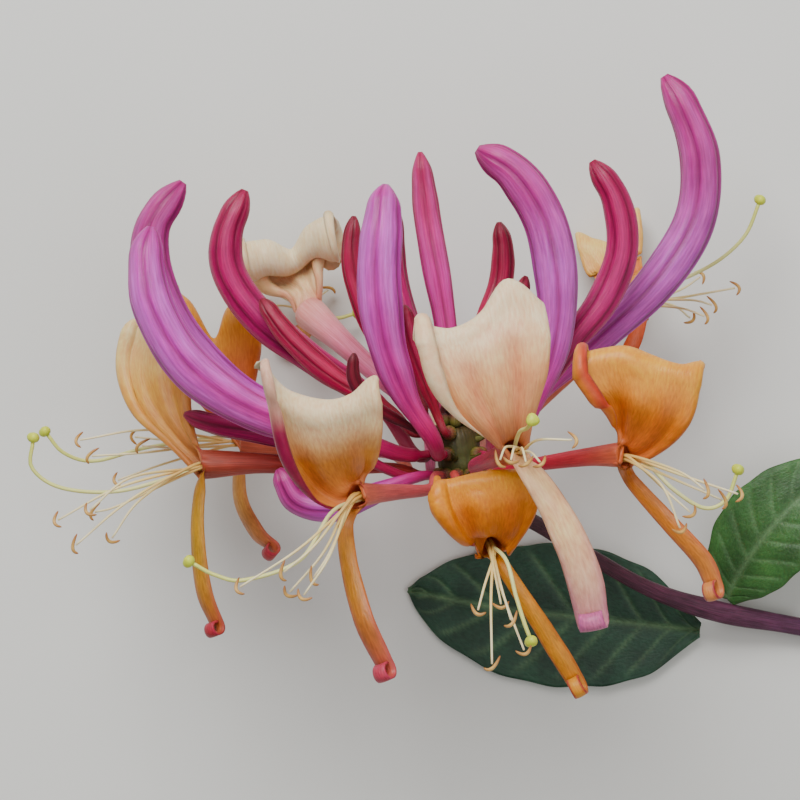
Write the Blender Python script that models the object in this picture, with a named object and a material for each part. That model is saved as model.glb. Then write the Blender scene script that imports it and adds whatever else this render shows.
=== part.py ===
"""A cut sprig of climbing honeysuckle, lying on its back on a table.

The sprig is drawn on a square sheet that lies over it and is looked at from straight above: x runs to
the right and y runs down, each in squares of the sheet, and the third number of a point is its height in
millimetres above the flower head's axis. The sheet is 100 mm wide at the height of that axis.
"""

import math

import bmesh
import bpy
from mathutils import Vector

MM = 0.001

# Driving dimensions of the sheet and of the head.
SHEET_SQUARES = 800
SHEET_WIDTH = 100 * MM
SQUARE = SHEET_WIDTH / SHEET_SQUARES
EYE_HEIGHT = 500 * MM
AXIS_HEIGHT = 36.2 * MM
SHEET_ORIGIN = (463.5, 385.5)

# Sizes that all flowers share.
RECEPTACLE_RADIUS = 2.7
RECEPTACLE_BOTTOM = (462, 482, 0)
RECEPTACLE_TOP = (456, 426, 0)
ROOT_GAP = 0.75
ROOT_RADIUS = 0.5
WHORL_LEVELS = (0.12, 0.5, 0.88)
PETAL_THICKNESS = 0.7
STRAP_NARROW = 0.58
FILAMENT_RADIUS = 0.27
ANTHER_RADIUS = 0.42
STIGMA_RADIUS = 0.8
HUB_RADIUS = 0.62
THROAT_STEP = 2.2
THROAT_DROP = 0.5

# How an organ leaves the receptacle: the share of the way to its first point that it runs straight out,
# and where the ones at the very top stand, onward and outward from the axis end, in mm.
STUB_SHARE = 0.35
CORE_LIFT = 1.25
CORE_SPREAD = 1.5

# Where the lips leave the tube: off its middle as a share of its radius, and how far inside its end in mm.
MOUTH_INSET = 0.62
MOUTH_OVERLAP = 0.8

# How soon a lower lip reaches its full width, and how much its roll tightens by its end.
STRAP_WIDENS = 1.3
STRAP_TIGHTENS = 0.45

# A wrapped margin: how far it comes forward for each mm it turns in, and where across and along the lip.
WRAP_FORWARD = 1.5
WRAP_ACROSS = ((0.7, 0.0), (1.0, 1.0))
WRAP_ALONG = ((0.1, 0.0), (0.5, 1.0))

# Points on a smooth line before it is spaced evenly.
FINE_STEPS = 200

# Share of a bud's length, and its radius there as a share of the fullest radius.
BUD_OUTLINE = ((0.0, 0.30), (0.2, 0.42), (0.42, 0.80), (0.62, 1.0), (0.82, 0.96), (0.93, 0.80),
               (1.0, 0.52))

# Each bud: its place in the whorls (turn about the axis from the viewer's side, level), the points its
# spine passes after that, and its fullest radius in mm.
BUDS = {
    "bud_far_left_rear": ((255, 1), [(330, 427, -4), (250, 398, -3), (187, 343, -2), (155, 280, -1.5),
                                     (152, 228, -1.5), (183, 182, -1.5)], 2.6),
    "bud_far_left_front": ((283, 1), [(350, 437, 4), (262, 416, 6.5), (193, 371, 7), (156, 314, 7),
                                      (146, 264, 6.5), (151, 227, 6)], 2.75),
    "bud_left_low": ((280, 0), [(345, 451, 2.2), (265, 433, 0.3), (215, 424, -0.8), (184, 414, -1.6)], 1.5),
    "bud_left_magenta": ((230, 1), [(380, 405, -8), (320, 365, -9), (262, 320, -9), (230, 275, -9),
                                    (227, 235, -9), (245, 190, -9)], 2.3),
    "bud_left_crimson": ((265, 2), [(390, 410, -3), (335, 378, -4), (290, 338, -4.5), (261, 299, -5)], 1.5),
    "bud_slim_rear": ((225, 2), [(420, 395, -6), (378, 340, -8), (356, 285, -9), (351, 250, -9),
                                 (354, 216, -9)], 1.4),
    "bud_centre_left": ((330, 1), [(432, 438, 7), (405, 395, 8.5), (386, 340, 9.5), (379, 280, 9.5),
                                   (382, 225, 9), (386, 185, 8)], 2.8),
    "bud_centre_crimson": ((340, 2), [(437, 415, 3.5), (424, 380, 3.6), (411, 340, 3.4),
                                      (404, 305, 3.2)], 1.35),
    "bud_centre_magenta": ((195, 2), [(449, 380, -5), (446, 330, -6), (438, 280, -7), (427, 215, -8),
                                      (420, 152, -8)], 1.8),
    "bud_maroon_small": ((300, 2), [(405, 424, 5), (370, 403, 7), (354, 378, 8), (354, 353, 8.5)], 0.95),
    "bud_red_rear": ((160, 2), [(470, 380, -6), (484, 330, -7), (500, 285, -8), (503, 250, -8),
                                (499, 222, -8)], 1.6),
    "bud_pink_small": ((100, 2), [(487, 390, -2), (510, 335, -2.5), (526, 276, -3)], 1.15),
    "bud_right_lilac": ((50, 1), [(528, 415, 5), (552, 350, 4.5), (557, 290, 4), (546, 225, 3),
                                  (516, 175, 3), (477, 149, 3)], 2.8),
    "bud_right_magenta": ((78, 1), [(530, 408, -1), (565, 350, -2), (603, 300, -3), (622, 250, -3),
                                    (616, 200, -3), (592, 161, -3)], 2.1),
    "bud_far_right": ((104, 1), [(530, 405, -7), (585, 350, -9), (650, 290, -11), (693, 225, -12),
                                 (700, 160, -12), (682, 105, -12), (664, 76, -12)], 2.75),
    "bud_low_left": ((300, 0), [(395, 484, 4), (340, 507, 3.6), (298, 501, 3.4), (278, 469, 4)], 1.8),
    "bud_rear_left": ((186, 1), [(440, 395, -12), (410, 335, -17), (393, 270, -19), (394, 205, -18)], 1.9),
    "bud_rear_right": ((150, 1), [(500, 400, -13), (540, 340, -18), (554, 280, -20), (546, 225, -20)], 1.9),
    "bud_core_left": ((287, 3), [(447, 396, 0.6), (436, 362, 1)], 0.85),
    "bud_core_right": ((72, 3), [(470, 400, 0.8), (480, 378, 1)], 0.8),
    "bud_core_front": ((0, 3), [(458, 396, 4), (462, 370, 6)], 0.95),
    "bud_core_rear": ((144, 3), [(465, 395, -2.5), (470, 362, -3.5)], 0.9),
    "bud_core_low": ((216, 3), [(452, 396, -2.5), (448, 358, -3.5)], 0.9),
}

# Each open flower. tube: spine after the root, ending at the mouth. lip: centre line of the broad upper
# lip, with its half widths in mm to the left and right; crest and forward: how far its rolled edge stands
# off that line, onward and towards the viewer, at five places across; wrap: how far its left and right
# margins turn in; cup: how far its sides lie behind its middle; back: the way it rolls, with the roll's
# radius and turn. strap: centre line of the narrow lower lip, with the direction of its width at the mouth
# and at the tip, its half width, and the radius and turn of its roll. stamens: a middle and an end for
# each. style: the points it passes.
FLOWERS = {
    "left": {
        "root": (260, 0),
        "tube": [(395, 468, 0), (330, 468, 0), (262, 463, 0), (203, 464, 0)],
        "mouth_radius": 1.6,
        "lip": [(182, 436, -3), (162, 400, -5.5), (154, 364, -7), (157, 336, -7.5)],
        "left": [1.8, 4.0, 4.8, 4.4], "right": [1.8, 4.0, 4.8, 4.4],
        "crest": [0, 0.4, 0.6, 0.4, 0], "forward": [0.8, 0, 0, 0, 0], "wrap": (0.6, 0.2),
        "back": (0.45, 0.2, -0.9), "roll": (1.6, 220), "cup": 1.0,
        "strap": [(201, 484, 1), (197, 530, 2), (203, 590, 3), (217, 626, 3)],
        "strap_side": ((0.8, 0, 0.6), (0.8, 0.1, 0.6)), "strap_width": 1.15, "strap_roll": (1.3, 290),
        "stamens": [((120, 487, 4), (58, 520, 4)), ((130, 500, 6), (76, 545, 7)),
                    ((140, 500, 2), (112, 538, 3)), ((130, 478, 7), (90, 510, 8)),
                    ((120, 505, 1.5), (95, 512, 1))],
        "style": [(188, 472, -1.9), (120, 491, -3), (62, 488, -3), (32, 468, -3), (33, 441, -3)],
    },
    "left_rear": {
        "root": (235, 0),
        "tube": [(390, 452, -11), (310, 448, -15), (246, 440, -17)],
        "mouth_radius": 1.8,
        "lip": [(234, 418, -17), (220, 372, -17.5), (213, 334, -17.5)],
        "left": [2.0, 4.4, 4.4], "right": [2.4, 4.6, 5.2],
        "crest": [3.4, 2.6, -1.4, 0.8, 0.6], "forward": [1.6, 0.8, 0, 0.8, 1.2], "wrap": (0, 0),
        "back": (0, 0.2, -1), "roll": (2.5, 240), "cup": 0.9,
        "strap": [(240, 462, -15), (240, 500, -13), (256, 533, -12), (272, 547, -12)],
        "strap_side": ((0.8, 0, 0.6), (0.6, -0.3, 0.7)), "strap_width": 1.25, "strap_roll": (1.3, 280),
        "stamens": [((150, 430, -17), (80, 440, -16)), ((150, 452, -14), (92, 456, -13)),
                    ((170, 440, -20), (135, 437, -21)), ((170, 462, -17), (118, 480, -16)),
                    ((180, 448, -12), (142, 446, -11))],
        "style": [(232, 436, -20.2), (150, 447, -22.6), (95, 461, -22.6), (64, 453, -22), (47, 434, -22)],
    },
    "front_left": {
        "root": (320, 0),
        "tube": [(430, 489, 7), (398, 492, 12), (356, 495, 19)],
        "mouth_radius": 1.4,
        "lip": [(346, 481, 19.4), (332, 452, 24), (323, 420, 26.5)],
        "left": [5.0, 6.9, 6.8], "right": [3.2, 5.6, 6.8],
        "crest": [6.4, 1.5, -0.4, 0, 0.4], "forward": [0.5, 0, 0, 0, 0.6], "wrap": (1.2, 0.2),
        "back": (0.15, 0.1, -1), "roll": (1.9, 200), "cup": 1.0,
        "strap": [(346, 522, 18.8), (349, 565, 22), (364, 622, 25), (386, 668, 24.5)],
        "strap_side": ((0.9, 0, 0.3), (0.8, -0.3, 0.5)), "strap_width": 1.25, "strap_roll": (1.5, 290),
        "stamens": [((300, 548, 29), (240, 587, 30)), ((315, 545, 31), (284, 572, 32)),
                    ((325, 550, 29), (290, 592, 30)), ((330, 555, 31), (304, 595, 32)),
                    ((330, 552, 29.5), (314, 577, 30.5))],
        "style": [(332, 512, 21), (300, 560, 24.5), (245, 580, 25), (215, 575, 25), (192, 563, 25)],
    },
    "front_centre": {
        "root": (22, 0),
        "tube": [(474, 466, 11), (493, 459, 19.5), (513, 450, 26)],
        "mouth_radius": 1.4,
        "lip": [(507, 432, 29), (498, 395, 31), (490, 360, 31.5), (486, 336, 31)],
        "left": [2.6, 5.2, 6.4, 7.2], "right": [2.8, 5.8, 7.2, 7.4],
        "crest": [0.2, 0.2, 1.6, 5.0, 1.6], "forward": [2.2, 0.4, 0, 0, 0.4], "wrap": (0, 0.3),
        "back": (0, 0.1, -1), "roll": (1.6, 220), "cup": 1.6,
        "strap": [(524, 462, 29), (553, 505, 32), (580, 565, 33), (592, 618, 32)],
        "strap_side": ((0.95, 0.3, 0), (1, 0.05, 0.1)), "strap_width": 2.0, "strap_roll": (1.5, 270),
        "stamens": [((538, 440, 34), (572, 440, 35)), ((506, 447, 33), (500, 460, 34)),
                    ((514, 448, 34), (511, 460, 36)), ((530, 452, 33), (540, 462, 35)),
                    ((522, 448, 34), (526, 462, 37))],
        "style": [(519, 433, 30.5), (527, 428, 33), (532, 421, 36)],
    },
    "right": {
        "root": (62, 0),
        "tube": [(500, 470, 6), (545, 463, 10), (590, 457, 14), (624, 455, 17.5)],
        "mouth_radius": 1.35,
        "lip": [(632, 438, 18.2), (645, 408, 21.3), (650, 377, 22)],
        "left": [2.6, 5.6, 8.6], "right": [3.2, 5.2, 5.8],
        "crest": [-0.6, 1.2, 0.4, 0.2, -0.2], "forward": [2.0, 0.6, 0, 0, 0.4], "wrap": (0.4, 0.2),
        "back": (0.1, 0.15, -1), "roll": (1.8, 220), "cup": 1.6,
        "strap": [(631, 480, 15), (670, 524, 18.5), (702, 560, 19.5), (714, 586, 19)],
        "strap_side": ((0.8, -0.4, 0.4), (0.7, -0.5, 0.5)), "strap_width": 1.15, "strap_roll": (1.6, 290),
        "stamens": [((690, 478, 24), (738, 494, 25)), ((680, 472, 28), (705, 490, 29.5)),
                    ((665, 490, 26), (690, 512, 27)), ((662, 486, 26.5), (680, 528, 27.5)),
                    ((690, 486, 27), (722, 500, 26))],
        "style": [(644, 462, 16.4), (674, 490, 17.5), (704, 508, 17.5), (726, 500, 17.5), (737, 473, 17.5)],
    },
    "front_low": {
        "root": (350, 0),
        "tube": [(468, 498, 7), (480, 522, 12.5), (490, 544, 18)],
        "mouth_radius": 1.6,
        "lip": [(491, 534, 21), (489, 508, 23), (486, 486, 23.2)],
        "left": [4.2, 6.0, 6.4], "right": [4.2, 5.9, 6.1],
        "crest": [-0.4, 0.2, 0.2, 0.2, 0], "forward": [1.2, 0, 0, 0, 0.4], "wrap": (0.9, 0.4),
        "back": (0, 0.1, -1), "roll": (1.3, 180), "cup": 2.0,
        "strap": [(504, 568, 19.5), (530, 608, 21), (558, 652, 21), (576, 682, 20)],
        "strap_side": ((0.9, -0.4, 0.2), (1, -0.3, 0.1)), "strap_width": 1.05, "strap_roll": (1.7, 300),
        "stamens": [((485, 584, 24.5), (478, 610, 26)), ((491, 600, 26), (492, 664, 28)),
                    ((497, 584, 25), (501, 604, 26.5)), ((505, 600, 26.6), (524, 650, 29)),
                    ((501, 586, 28.5), (511, 620, 31))],
        "style": [(506, 560, 22.5), (516, 596, 24.4), (524, 622, 25.4), (530, 638, 26)],
    },
    "right_rear": {
        "root": (125, 0),
        "tube": [(520, 425, -12), (575, 365, -18), (634, 308, -23)],
        "mouth_radius": 1.8,
        "lip": [(628, 288, -27), (616, 265, -30), (612, 245, -31)],
        "left": [2.0, 3.4, 4.0], "right": [2.0, 3.6, 4.2],
        "crest": [2.4, 1.8, -0.6, -0.2, 0.4], "forward": [1.2, 0.4, 0, 0.4, 1.0], "wrap": (0, 0),
        "back": (0.1, 0.2, -1), "roll": (2.1, 220), "cup": 0.9,
        "strap": [(640, 318, -21), (634, 340, -19), (618, 370, -18), (602, 395, -18)],
        "strap_side": ((0.8, 0.3, 0.5), (0.7, 0.4, 0.5)), "strap_width": 1.2, "strap_roll": (1.2, 260),
        "stamens": [((690, 296, -24), (735, 288, -24)), ((690, 300, -20), (712, 305, -19)),
                    ((672, 305, -26), (690, 318, -27)), ((680, 290, -28), (700, 277, -29)),
                    ((680, 308, -18), (704, 316, -16.5))],
        "style": [(650, 292, -22.5), (690, 276, -22), (722, 258, -22), (746, 234, -22), (759, 203, -22)],
    },
    "upper_left_rear": {
        "root": (208, 0),
        "tube": [(425, 420, -13), (378, 375, -17.5), (338, 338, -21.5), (310, 313, -27)],
        "mouth_radius": 1.9,
        "lip": [(305, 288, -26.6), (296, 270, -28.2), (292, 254, -28)],
        "left": [2.2, 4.6, 6.0], "right": [2.2, 4.6, 6.0],
        "crest": [0.2, 0.2, -1.0, 1.0, 0.8], "forward": [0, 0, 0, 0, 0], "wrap": (0, 0),
        "back": (0, 0.2, 1), "roll": (2.5, 250), "cup": 0.9,
        "strap": [(306, 328, -29), (298, 338, -32.6), (284, 344, -34.4)],
        "strap_side": ((0.2, 0.95, 0), (0.2, 0.95, 0)), "strap_width": 1.6, "strap_roll": (1.0, 200),
        "stamens": [((286, 306, -32.5), (262, 306, -33.5)), ((284, 298, -33.3), (264, 290, -34.3)),
                    ((294, 296, -33.8), (282, 280, -34.8)), ((304, 292, -33.8), (306, 274, -34.8)),
                    ((316, 300, -33), (328, 290, -34.5))],
        "style": [(322, 316, -31), (338, 318, -32), (354, 314, -32)],
    },
    "rear": {
        "root": (180, 0),
        "tube": [(464, 484, -12), (468, 489, -20), (472, 492, -28)],
        "mouth_radius": 1.8,
        "lip": [(472, 476, -32), (471, 456, -34.2), (470, 436, -35)],
        "left": [2.0, 4.4, 5.4], "right": [2.0, 4.4, 5.4],
        "crest": [0.4, 0.6, 0, 0.6, 0.4], "forward": [0, 0, 0, 0, 0], "wrap": (0, 0),
        "back": (0, 0.2, 1), "roll": (1.8, 180), "cup": 0.4,
        "strap": [(474, 508, -31), (476, 524, -33), (477, 534, -33.8)],
        "strap_side": ((1, 0, 0), (1, 0.1, 0)), "strap_width": 1.7, "strap_roll": (1.2, 200),
        "stamens": [((458, 496, -32.5), (440, 504, -34)), ((456, 490, -33.2), (436, 488, -34.8)),
                    ((486, 490, -32.5), (506, 490, -34.2)), ((486, 498, -33.4), (502, 508, -34.8)),
                    ((462, 504, -33), (450, 520, -34.6))],
        "style": [(490, 496, -30), (510, 500, -31), (530, 498, -31.4)],
    },
}

# The stem: the points of its centre line and its radius there in mm. It swells where the leaves join it.
STEM = [(466, 492, -3), (488, 502, -12), (530, 520, -21), (590, 556, -27), (652, 590, -30.4),
        (716, 611, -32.4), (790, 625, -34.1), (868, 640, -34.95)]
STEM_RADII = [1.7, 1.15, 1.05, 1.05, 1.1, 1.5, 1.25, 1.25]

# Each leaf: the points of its midrib, its half widths in mm there, and the direction of its width.
LEAVES = {
    "leaf_left": ([(700, 630, -35), (650, 625, -35.4), (590, 618, -35.7), (520, 611, -35.8),
                   (450, 599, -35.7), (408, 590, -35.5)], [0.9, 6.8, 9.2, 9.0, 5.6, 0.7], (0.05, 1, 0)),
    "leaf_right": ([(727, 599, -32.6), (740, 572, -30.6), (768, 532, -28.6), (806, 492, -28),
                    (846, 462, -29)], [1.2, 5.0, 6.6, 5.0, 0.7], (0.8, 0.6, 0.25)),
}
LEAF_THICKNESS = 0.7
LEAF_FOLD = 0.08
LEAF_LEAST_HALF = 0.5

# The receptacle: the share of the way along it, and its radius there in mm.
RECEPTACLE_OUTLINE = ((0.0, 1.6), (0.06, 2.4), (0.3, RECEPTACLE_RADIUS), (0.7, RECEPTACLE_RADIUS),
                      (0.95, 2.2), (1.0, 1.2))

# How finely each kind of piece is built: rows along it, and sides or columns across it.
BUD_ROWS, BUD_SIDES = 12, 8
TUBE_ROWS, TUBE_SIDES = 9, 8
LIP_ROWS, LIP_ROLL_ROWS, LIP_COLUMNS = 6, 5, 7
STRAP_ROWS, STRAP_ROLL_ROWS, STRAP_COLUMNS = 7, 5, 3
FILAMENT_ROWS, FILAMENT_SIDES, HUB_SIDES = 7, 3, 6
STYLE_ROWS, STYLE_SIDES = 9, 5
RECEPTACLE_SIDES = 10
STEM_ROWS, STEM_SIDES = 22, 8
LEAF_ROWS, LEAF_COLUMNS = 12, 5

# Small shapes of the flowers: how a tube widens, how much an upper lip's roll tightens, the hub that the
# stamens share, as lengths and radii in hub radii, and the stigma, as lengths and radii in its radius.
TUBE_WIDENS = 1.2
LIP_TIGHTENS = 0.1
HUB_OUTLINE = ((-1.0, 0.6), (-0.4, 1.0), (0.4, 1.0), (1.0, 0.6))
STIGMA_OUTLINE = ((0.35, 0.8), (1.0, 1.0), (1.6, 0.6))

# The anther at a filament's end hooks over: two points, each onward and sideways from the tip, in mm.
ANTHER_HOOK = ((0.9, 0.7), (0.7, 2.0))
FILAMENT_STUB = 0.5

# Each plain material: its colour and roughness.
MATERIALS = {
    "petal_apricot": ((0.80, 0.46, 0.16), 0.5),
    "bud_pink": ((0.55, 0.09, 0.32), 0.5),
    "filament_ivory": ((0.80, 0.72, 0.45), 0.45),
    "style_lime": ((0.62, 0.66, 0.18), 0.4),
    "receptacle_green": ((0.22, 0.24, 0.07), 0.6),
    "stem_purple": ((0.09, 0.04, 0.07), 0.55),
    "leaf_green": ((0.03, 0.10, 0.05), 0.5),
}


def at(point):
    """A point of the drawing sheet as a place in the sprig's own frame, in metres."""
    x, y, rise = point
    depth = rise * MM
    reach = (EYE_HEIGHT - depth) / EYE_HEIGHT * SQUARE
    middle = SHEET_SQUARES / 2
    shift = ((middle - SHEET_ORIGIN[0]) * SQUARE, (SHEET_ORIGIN[1] - middle) * SQUARE)
    return Vector(((x - middle) * reach + shift[0], (middle - y) * reach + shift[1], AXIS_HEIGHT + depth))


def along(values, share):
    """The smooth value at a share of the way through evenly spaced values, numbers or vectors."""
    last = len(values) - 1
    place = min(max(share, 0.0), 1.0) * last
    k = min(int(place), last - 1)
    t = place - k
    b, c = values[k], values[k + 1]
    a = values[k - 1] if k > 0 else b + (b - c)
    d = values[k + 2] if k + 2 <= last else c + (c - b)
    straight, bend, twist = c - a, 2 * a - 5 * b + 4 * c - d, 3 * b - 3 * c + d - a
    return 0.5 * (2 * b + straight * t + bend * t * t + twist * t ** 3)


def between(pairs, share):
    """A value read from (share, value) pairs, eased between them."""
    for (s0, v0), (s1, v1) in zip(pairs, pairs[1:]):
        if share <= s1:
            t = max(0.0, (share - s0) / (s1 - s0))
            return v0 + (v1 - v0) * t * t * (3 - 2 * t)
    return pairs[-1][1]


def tangents(path):
    """The unit direction at each point of a path."""
    last = len(path) - 1
    return [(path[min(k + 1, last)] - path[max(k - 1, 0)]).normalized() for k in range(last + 1)]


def carried(directions, side):
    """A side vector carried along the directions without twisting."""
    sides = []
    for direction in directions:
        side = (side - direction * side.dot(direction)).normalized()
        sides.append(side.copy())
    return sides


def root_of(place):
    """Where an organ leaves the receptacle: its foot, and the direction it starts in."""
    turn, level = place
    bottom, top = at(RECEPTACLE_BOTTOM), at(RECEPTACLE_TOP)
    rise = (top - bottom).normalized()
    angle = math.radians(turn)
    outward = Vector((math.sin(angle), 0, math.cos(angle)))
    if level >= len(WHORL_LEVELS):
        return top + (rise * CORE_LIFT + outward * CORE_SPREAD) * MM, rise
    centre = bottom.lerp(top, WHORL_LEVELS[level])
    return centre + outward * (RECEPTACLE_RADIUS + ROOT_GAP) * MM, outward


def spine(place, points, count):
    """A smooth path from the receptacle through the sheet points."""
    foot, way = root_of(place)
    ends = [at(p) for p in points]
    stub = foot + way * STUB_SHARE * (ends[0] - foot).length
    return smooth_line([foot, stub, *ends], count)


def smooth_line(knots, count):
    """A smooth line through some points, as evenly spaced points."""
    return spaced([along(knots, k / FINE_STEPS) for k in range(FINE_STEPS + 1)], count)


def spaced(path, count):
    """The same path as evenly spaced points."""
    run = [0.0]
    for a, b in zip(path, path[1:]):
        run.append(run[-1] + (b - a).length)
    found, k = [], 0
    for n in range(count):
        want = run[-1] * n / (count - 1)
        while k < len(path) - 2 and run[k + 1] < want:
            k += 1
        step = run[k + 1] - run[k]
        found.append(path[k].lerp(path[k + 1], (want - run[k]) / step if step else 0.0))
    return found


def tube_mesh(mesh, path, radii, sides):
    """Adds a closed tube along a path to a bmesh. radii are in metres."""
    directions = tangents(path)
    normals = carried(directions, Vector((0.31, 0.22, 0.93)))
    rings = []
    for point, direction, normal, radius in zip(path, directions, normals, radii):
        other = direction.cross(normal)
        ring = []
        for k in range(sides):
            angle = math.tau * k / sides
            ring.append(mesh.verts.new(point + (normal * math.cos(angle) + other * math.sin(angle)) * radius))
        rings.append(ring)
    for low, high in zip(rings, rings[1:]):
        for k in range(sides):
            nxt = (k + 1) % sides
            mesh.faces.new((low[k], low[nxt], high[nxt], high[k]))
    mesh.faces.new(list(reversed(rings[0])))
    mesh.faces.new(rings[-1])


def sheet_mesh(mesh, grid, thickness):
    """Adds a closed sheet of even thickness about a grid of points."""
    rows, columns = len(grid), len(grid[0])
    front, rear = [], []
    for i, row in enumerate(grid):
        front_row, rear_row = [], []
        for j, point in enumerate(row):
            down = grid[min(i + 1, rows - 1)][j] - grid[max(i - 1, 0)][j]
            over = row[min(j + 1, columns - 1)] - row[max(j - 1, 0)]
            normal = over.cross(down).normalized() * thickness / 2
            front_row.append(mesh.verts.new(point + normal))
            rear_row.append(mesh.verts.new(point - normal))
        front.append(front_row)
        rear.append(rear_row)
    for i in range(rows - 1):
        for j in range(columns - 1):
            mesh.faces.new((front[i][j], front[i + 1][j], front[i + 1][j + 1], front[i][j + 1]))
            mesh.faces.new((rear[i][j], rear[i][j + 1], rear[i + 1][j + 1], rear[i + 1][j]))
    for j in range(columns - 1):
        mesh.faces.new((front[0][j], front[0][j + 1], rear[0][j + 1], rear[0][j]))
        mesh.faces.new((front[-1][j + 1], front[-1][j], rear[-1][j], rear[-1][j + 1]))
    for i in range(rows - 1):
        mesh.faces.new((front[i + 1][0], front[i][0], rear[i][0], rear[i + 1][0]))
        mesh.faces.new((front[i][-1], front[i + 1][-1], rear[i + 1][-1], rear[i][-1]))


def material(name):
    """A plain plant material, made once for each name."""
    found = bpy.data.materials.get(name)
    if found:
        return found
    colour, roughness = MATERIALS[name]
    made = bpy.data.materials.new(name)
    made.use_nodes = True
    shader = made.node_tree.nodes["Principled BSDF"]
    shader.inputs["Base Color"].default_value = (*colour, 1)
    shader.inputs["Roughness"].default_value = roughness
    shader.inputs["Metallic"].default_value = 0
    return made


def made_object(name, fill, slot, helper=False):
    """An object whose mesh fill() builds. A helper is only there to be joined to another object."""
    mesh = bmesh.new()
    fill(mesh)
    bmesh.ops.recalc_face_normals(mesh, faces=mesh.faces)
    bmesh.ops.triangulate(mesh, faces=mesh.faces)
    data = bpy.data.meshes.new(name)
    mesh.to_mesh(data)
    mesh.free()
    data.materials.append(material(slot))
    data.shade_smooth()
    made = bpy.data.objects.new(name, data)
    bpy.context.scene.collection.objects.link(made)
    if helper:
        made.hide_render = True
        made.display_type = "WIRE"
    return made


def union(body, *others):
    """Joins helpers to an object as one solid."""
    for other in others:
        joined = body.modifiers.new("join_" + other.name, "BOOLEAN")
        joined.operation = "UNION"
        joined.solver = "EXACT"
        joined.object = other


def lip_start(flower, line):
    """Where a lip's middle line leaves the inside of the tube, on the side that the line lies on."""
    ends = [at(p) for p in flower["tube"]]
    mouth, way = ends[-1], (ends[-1] - ends[-2]).normalized()
    off = line[0] - mouth
    off = (off - way * off.dot(way)).normalized()
    return mouth + (off * flower["mouth_radius"] * MOUTH_INSET - way * MOUTH_OVERLAP) * MM


def lip_grid(flower):
    """The middle surface of an upper lip, from the mouth to the end of its roll."""
    line = [at(p) for p in flower["lip"]]
    knots = [lip_start(flower, line), *line]
    narrow = flower["mouth_radius"] * MOUTH_INSET
    lefts, rights = [narrow, *flower["left"]], [narrow, *flower["right"]]
    back = Vector((flower["back"][0], -flower["back"][1], flower["back"][2])).normalized()
    roll_radius, turn = flower["roll"][0] * MM, math.radians(flower["roll"][1])
    centres = [along(knots, k / (LIP_ROWS - 1)) for k in range(LIP_ROWS)]
    ways = tangents(centres)
    grid = []
    for k, (centre, direction) in enumerate(zip(centres, ways)):
        share = k / (LIP_ROWS - 1)
        behind = (back - direction * back.dot(direction)).normalized()
        over = direction.cross(behind).normalized()
        if over.x < 0:
            over = -over
        row = []
        for j in range(LIP_COLUMNS):
            u = 2 * j / (LIP_COLUMNS - 1) - 1
            spread = along(lefts if u < 0 else rights, share) * u
            lift = along(flower["crest"], (u + 1) / 2) * share ** 3
            forward = along(flower["forward"], (u + 1) / 2) * share ** 2
            wrap = flower["wrap"][0 if u < 0 else 1]
            wrap *= between(WRAP_ACROSS, abs(u)) * between(WRAP_ALONG, share)
            spread -= math.copysign(wrap, u)
            behindness = flower["cup"] * u * u * share - forward - WRAP_FORWARD * wrap
            row.append(centre + (over * spread + behind * behindness + direction * lift) * MM)
        grid.append(row)
    direction, behind = ways[-1], (back - ways[-1] * back.dot(ways[-1])).normalized()
    last = grid[-1]
    for k in range(1, LIP_ROLL_ROWS + 1):
        angle = turn * k / LIP_ROLL_ROWS
        shrink = 1 - LIP_TIGHTENS * k / LIP_ROLL_ROWS
        step = (direction * math.sin(angle) + behind * (1 - math.cos(angle))) * roll_radius * shrink
        grid.append([point + step for point in last])
    return grid


def strap_grid(flower):
    """The middle surface of a lower lip, from the mouth to the end of its curled tip."""
    line = [at(p) for p in flower["strap"]]
    centres = smooth_line([lip_start(flower, line), *line], STRAP_ROWS)
    ways = tangents(centres)
    first, last = (Vector((s[0], -s[1], s[2])) for s in flower["strap_side"])
    across = [2 * j / (STRAP_COLUMNS - 1) - 1 for j in range(STRAP_COLUMNS)]
    grid = []
    for k, (centre, direction) in enumerate(zip(centres, ways)):
        share = k / (STRAP_ROWS - 1)
        side = first.lerp(last, share)
        side = (side - direction * side.dot(direction)).normalized()
        widening = min(1.0, share * STRAP_WIDENS)
        half = flower["strap_width"] * MM * (STRAP_NARROW + (1 - STRAP_NARROW) * widening)
        grid.append([centre + side * half * u for u in across])
    direction = ways[-1]
    inward = side.cross(direction).normalized()
    if inward.z < 0:
        inward = -inward
    curl, turn = flower["strap_roll"][0] * MM, math.radians(flower["strap_roll"][1])
    for k in range(1, STRAP_ROLL_ROWS + 1):
        angle = turn * k / STRAP_ROLL_ROWS
        shrink = 1 - STRAP_TIGHTENS * k / STRAP_ROLL_ROWS
        step = direction * math.sin(angle) + inward * (1 - math.cos(angle))
        middle = centres[-1] + step * curl * shrink
        grid.append([middle + side * half * u for u in across])
    return grid


def throat_of(flower):
    """The place in front of the mouth, clear of the upper lip, that stamens come from, and the way out."""
    ends = [at(p) for p in flower["tube"]]
    way = (ends[-1] - ends[-2]).normalized()
    rise = at(flower["lip"][0]) - ends[-1]
    rise = (rise - way * rise.dot(way)).normalized()
    return ends[-1] + (way * THROAT_STEP - rise * THROAT_DROP) * MM, way


def stamen_path(flower, middle, end):
    """A filament's path from the throat, with the hooked anther at its end."""
    throat, way = throat_of(flower)
    tip = at(end)
    run = (tip - at(middle)).normalized()
    hook = run.cross(Vector((0, 0, 1)))
    if hook.length < 0.1:
        hook = Vector((1, 0, 0))
    hook = hook.normalized()
    if hook.y > 0:
        hook = -hook
    anther = [tip + (run * onward + hook * sideways) * MM for onward, sideways in ANTHER_HOOK]
    return smooth_line([throat, throat + way * FILAMENT_STUB * MM, at(middle), tip, *anther], FILAMENT_ROWS)


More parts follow.
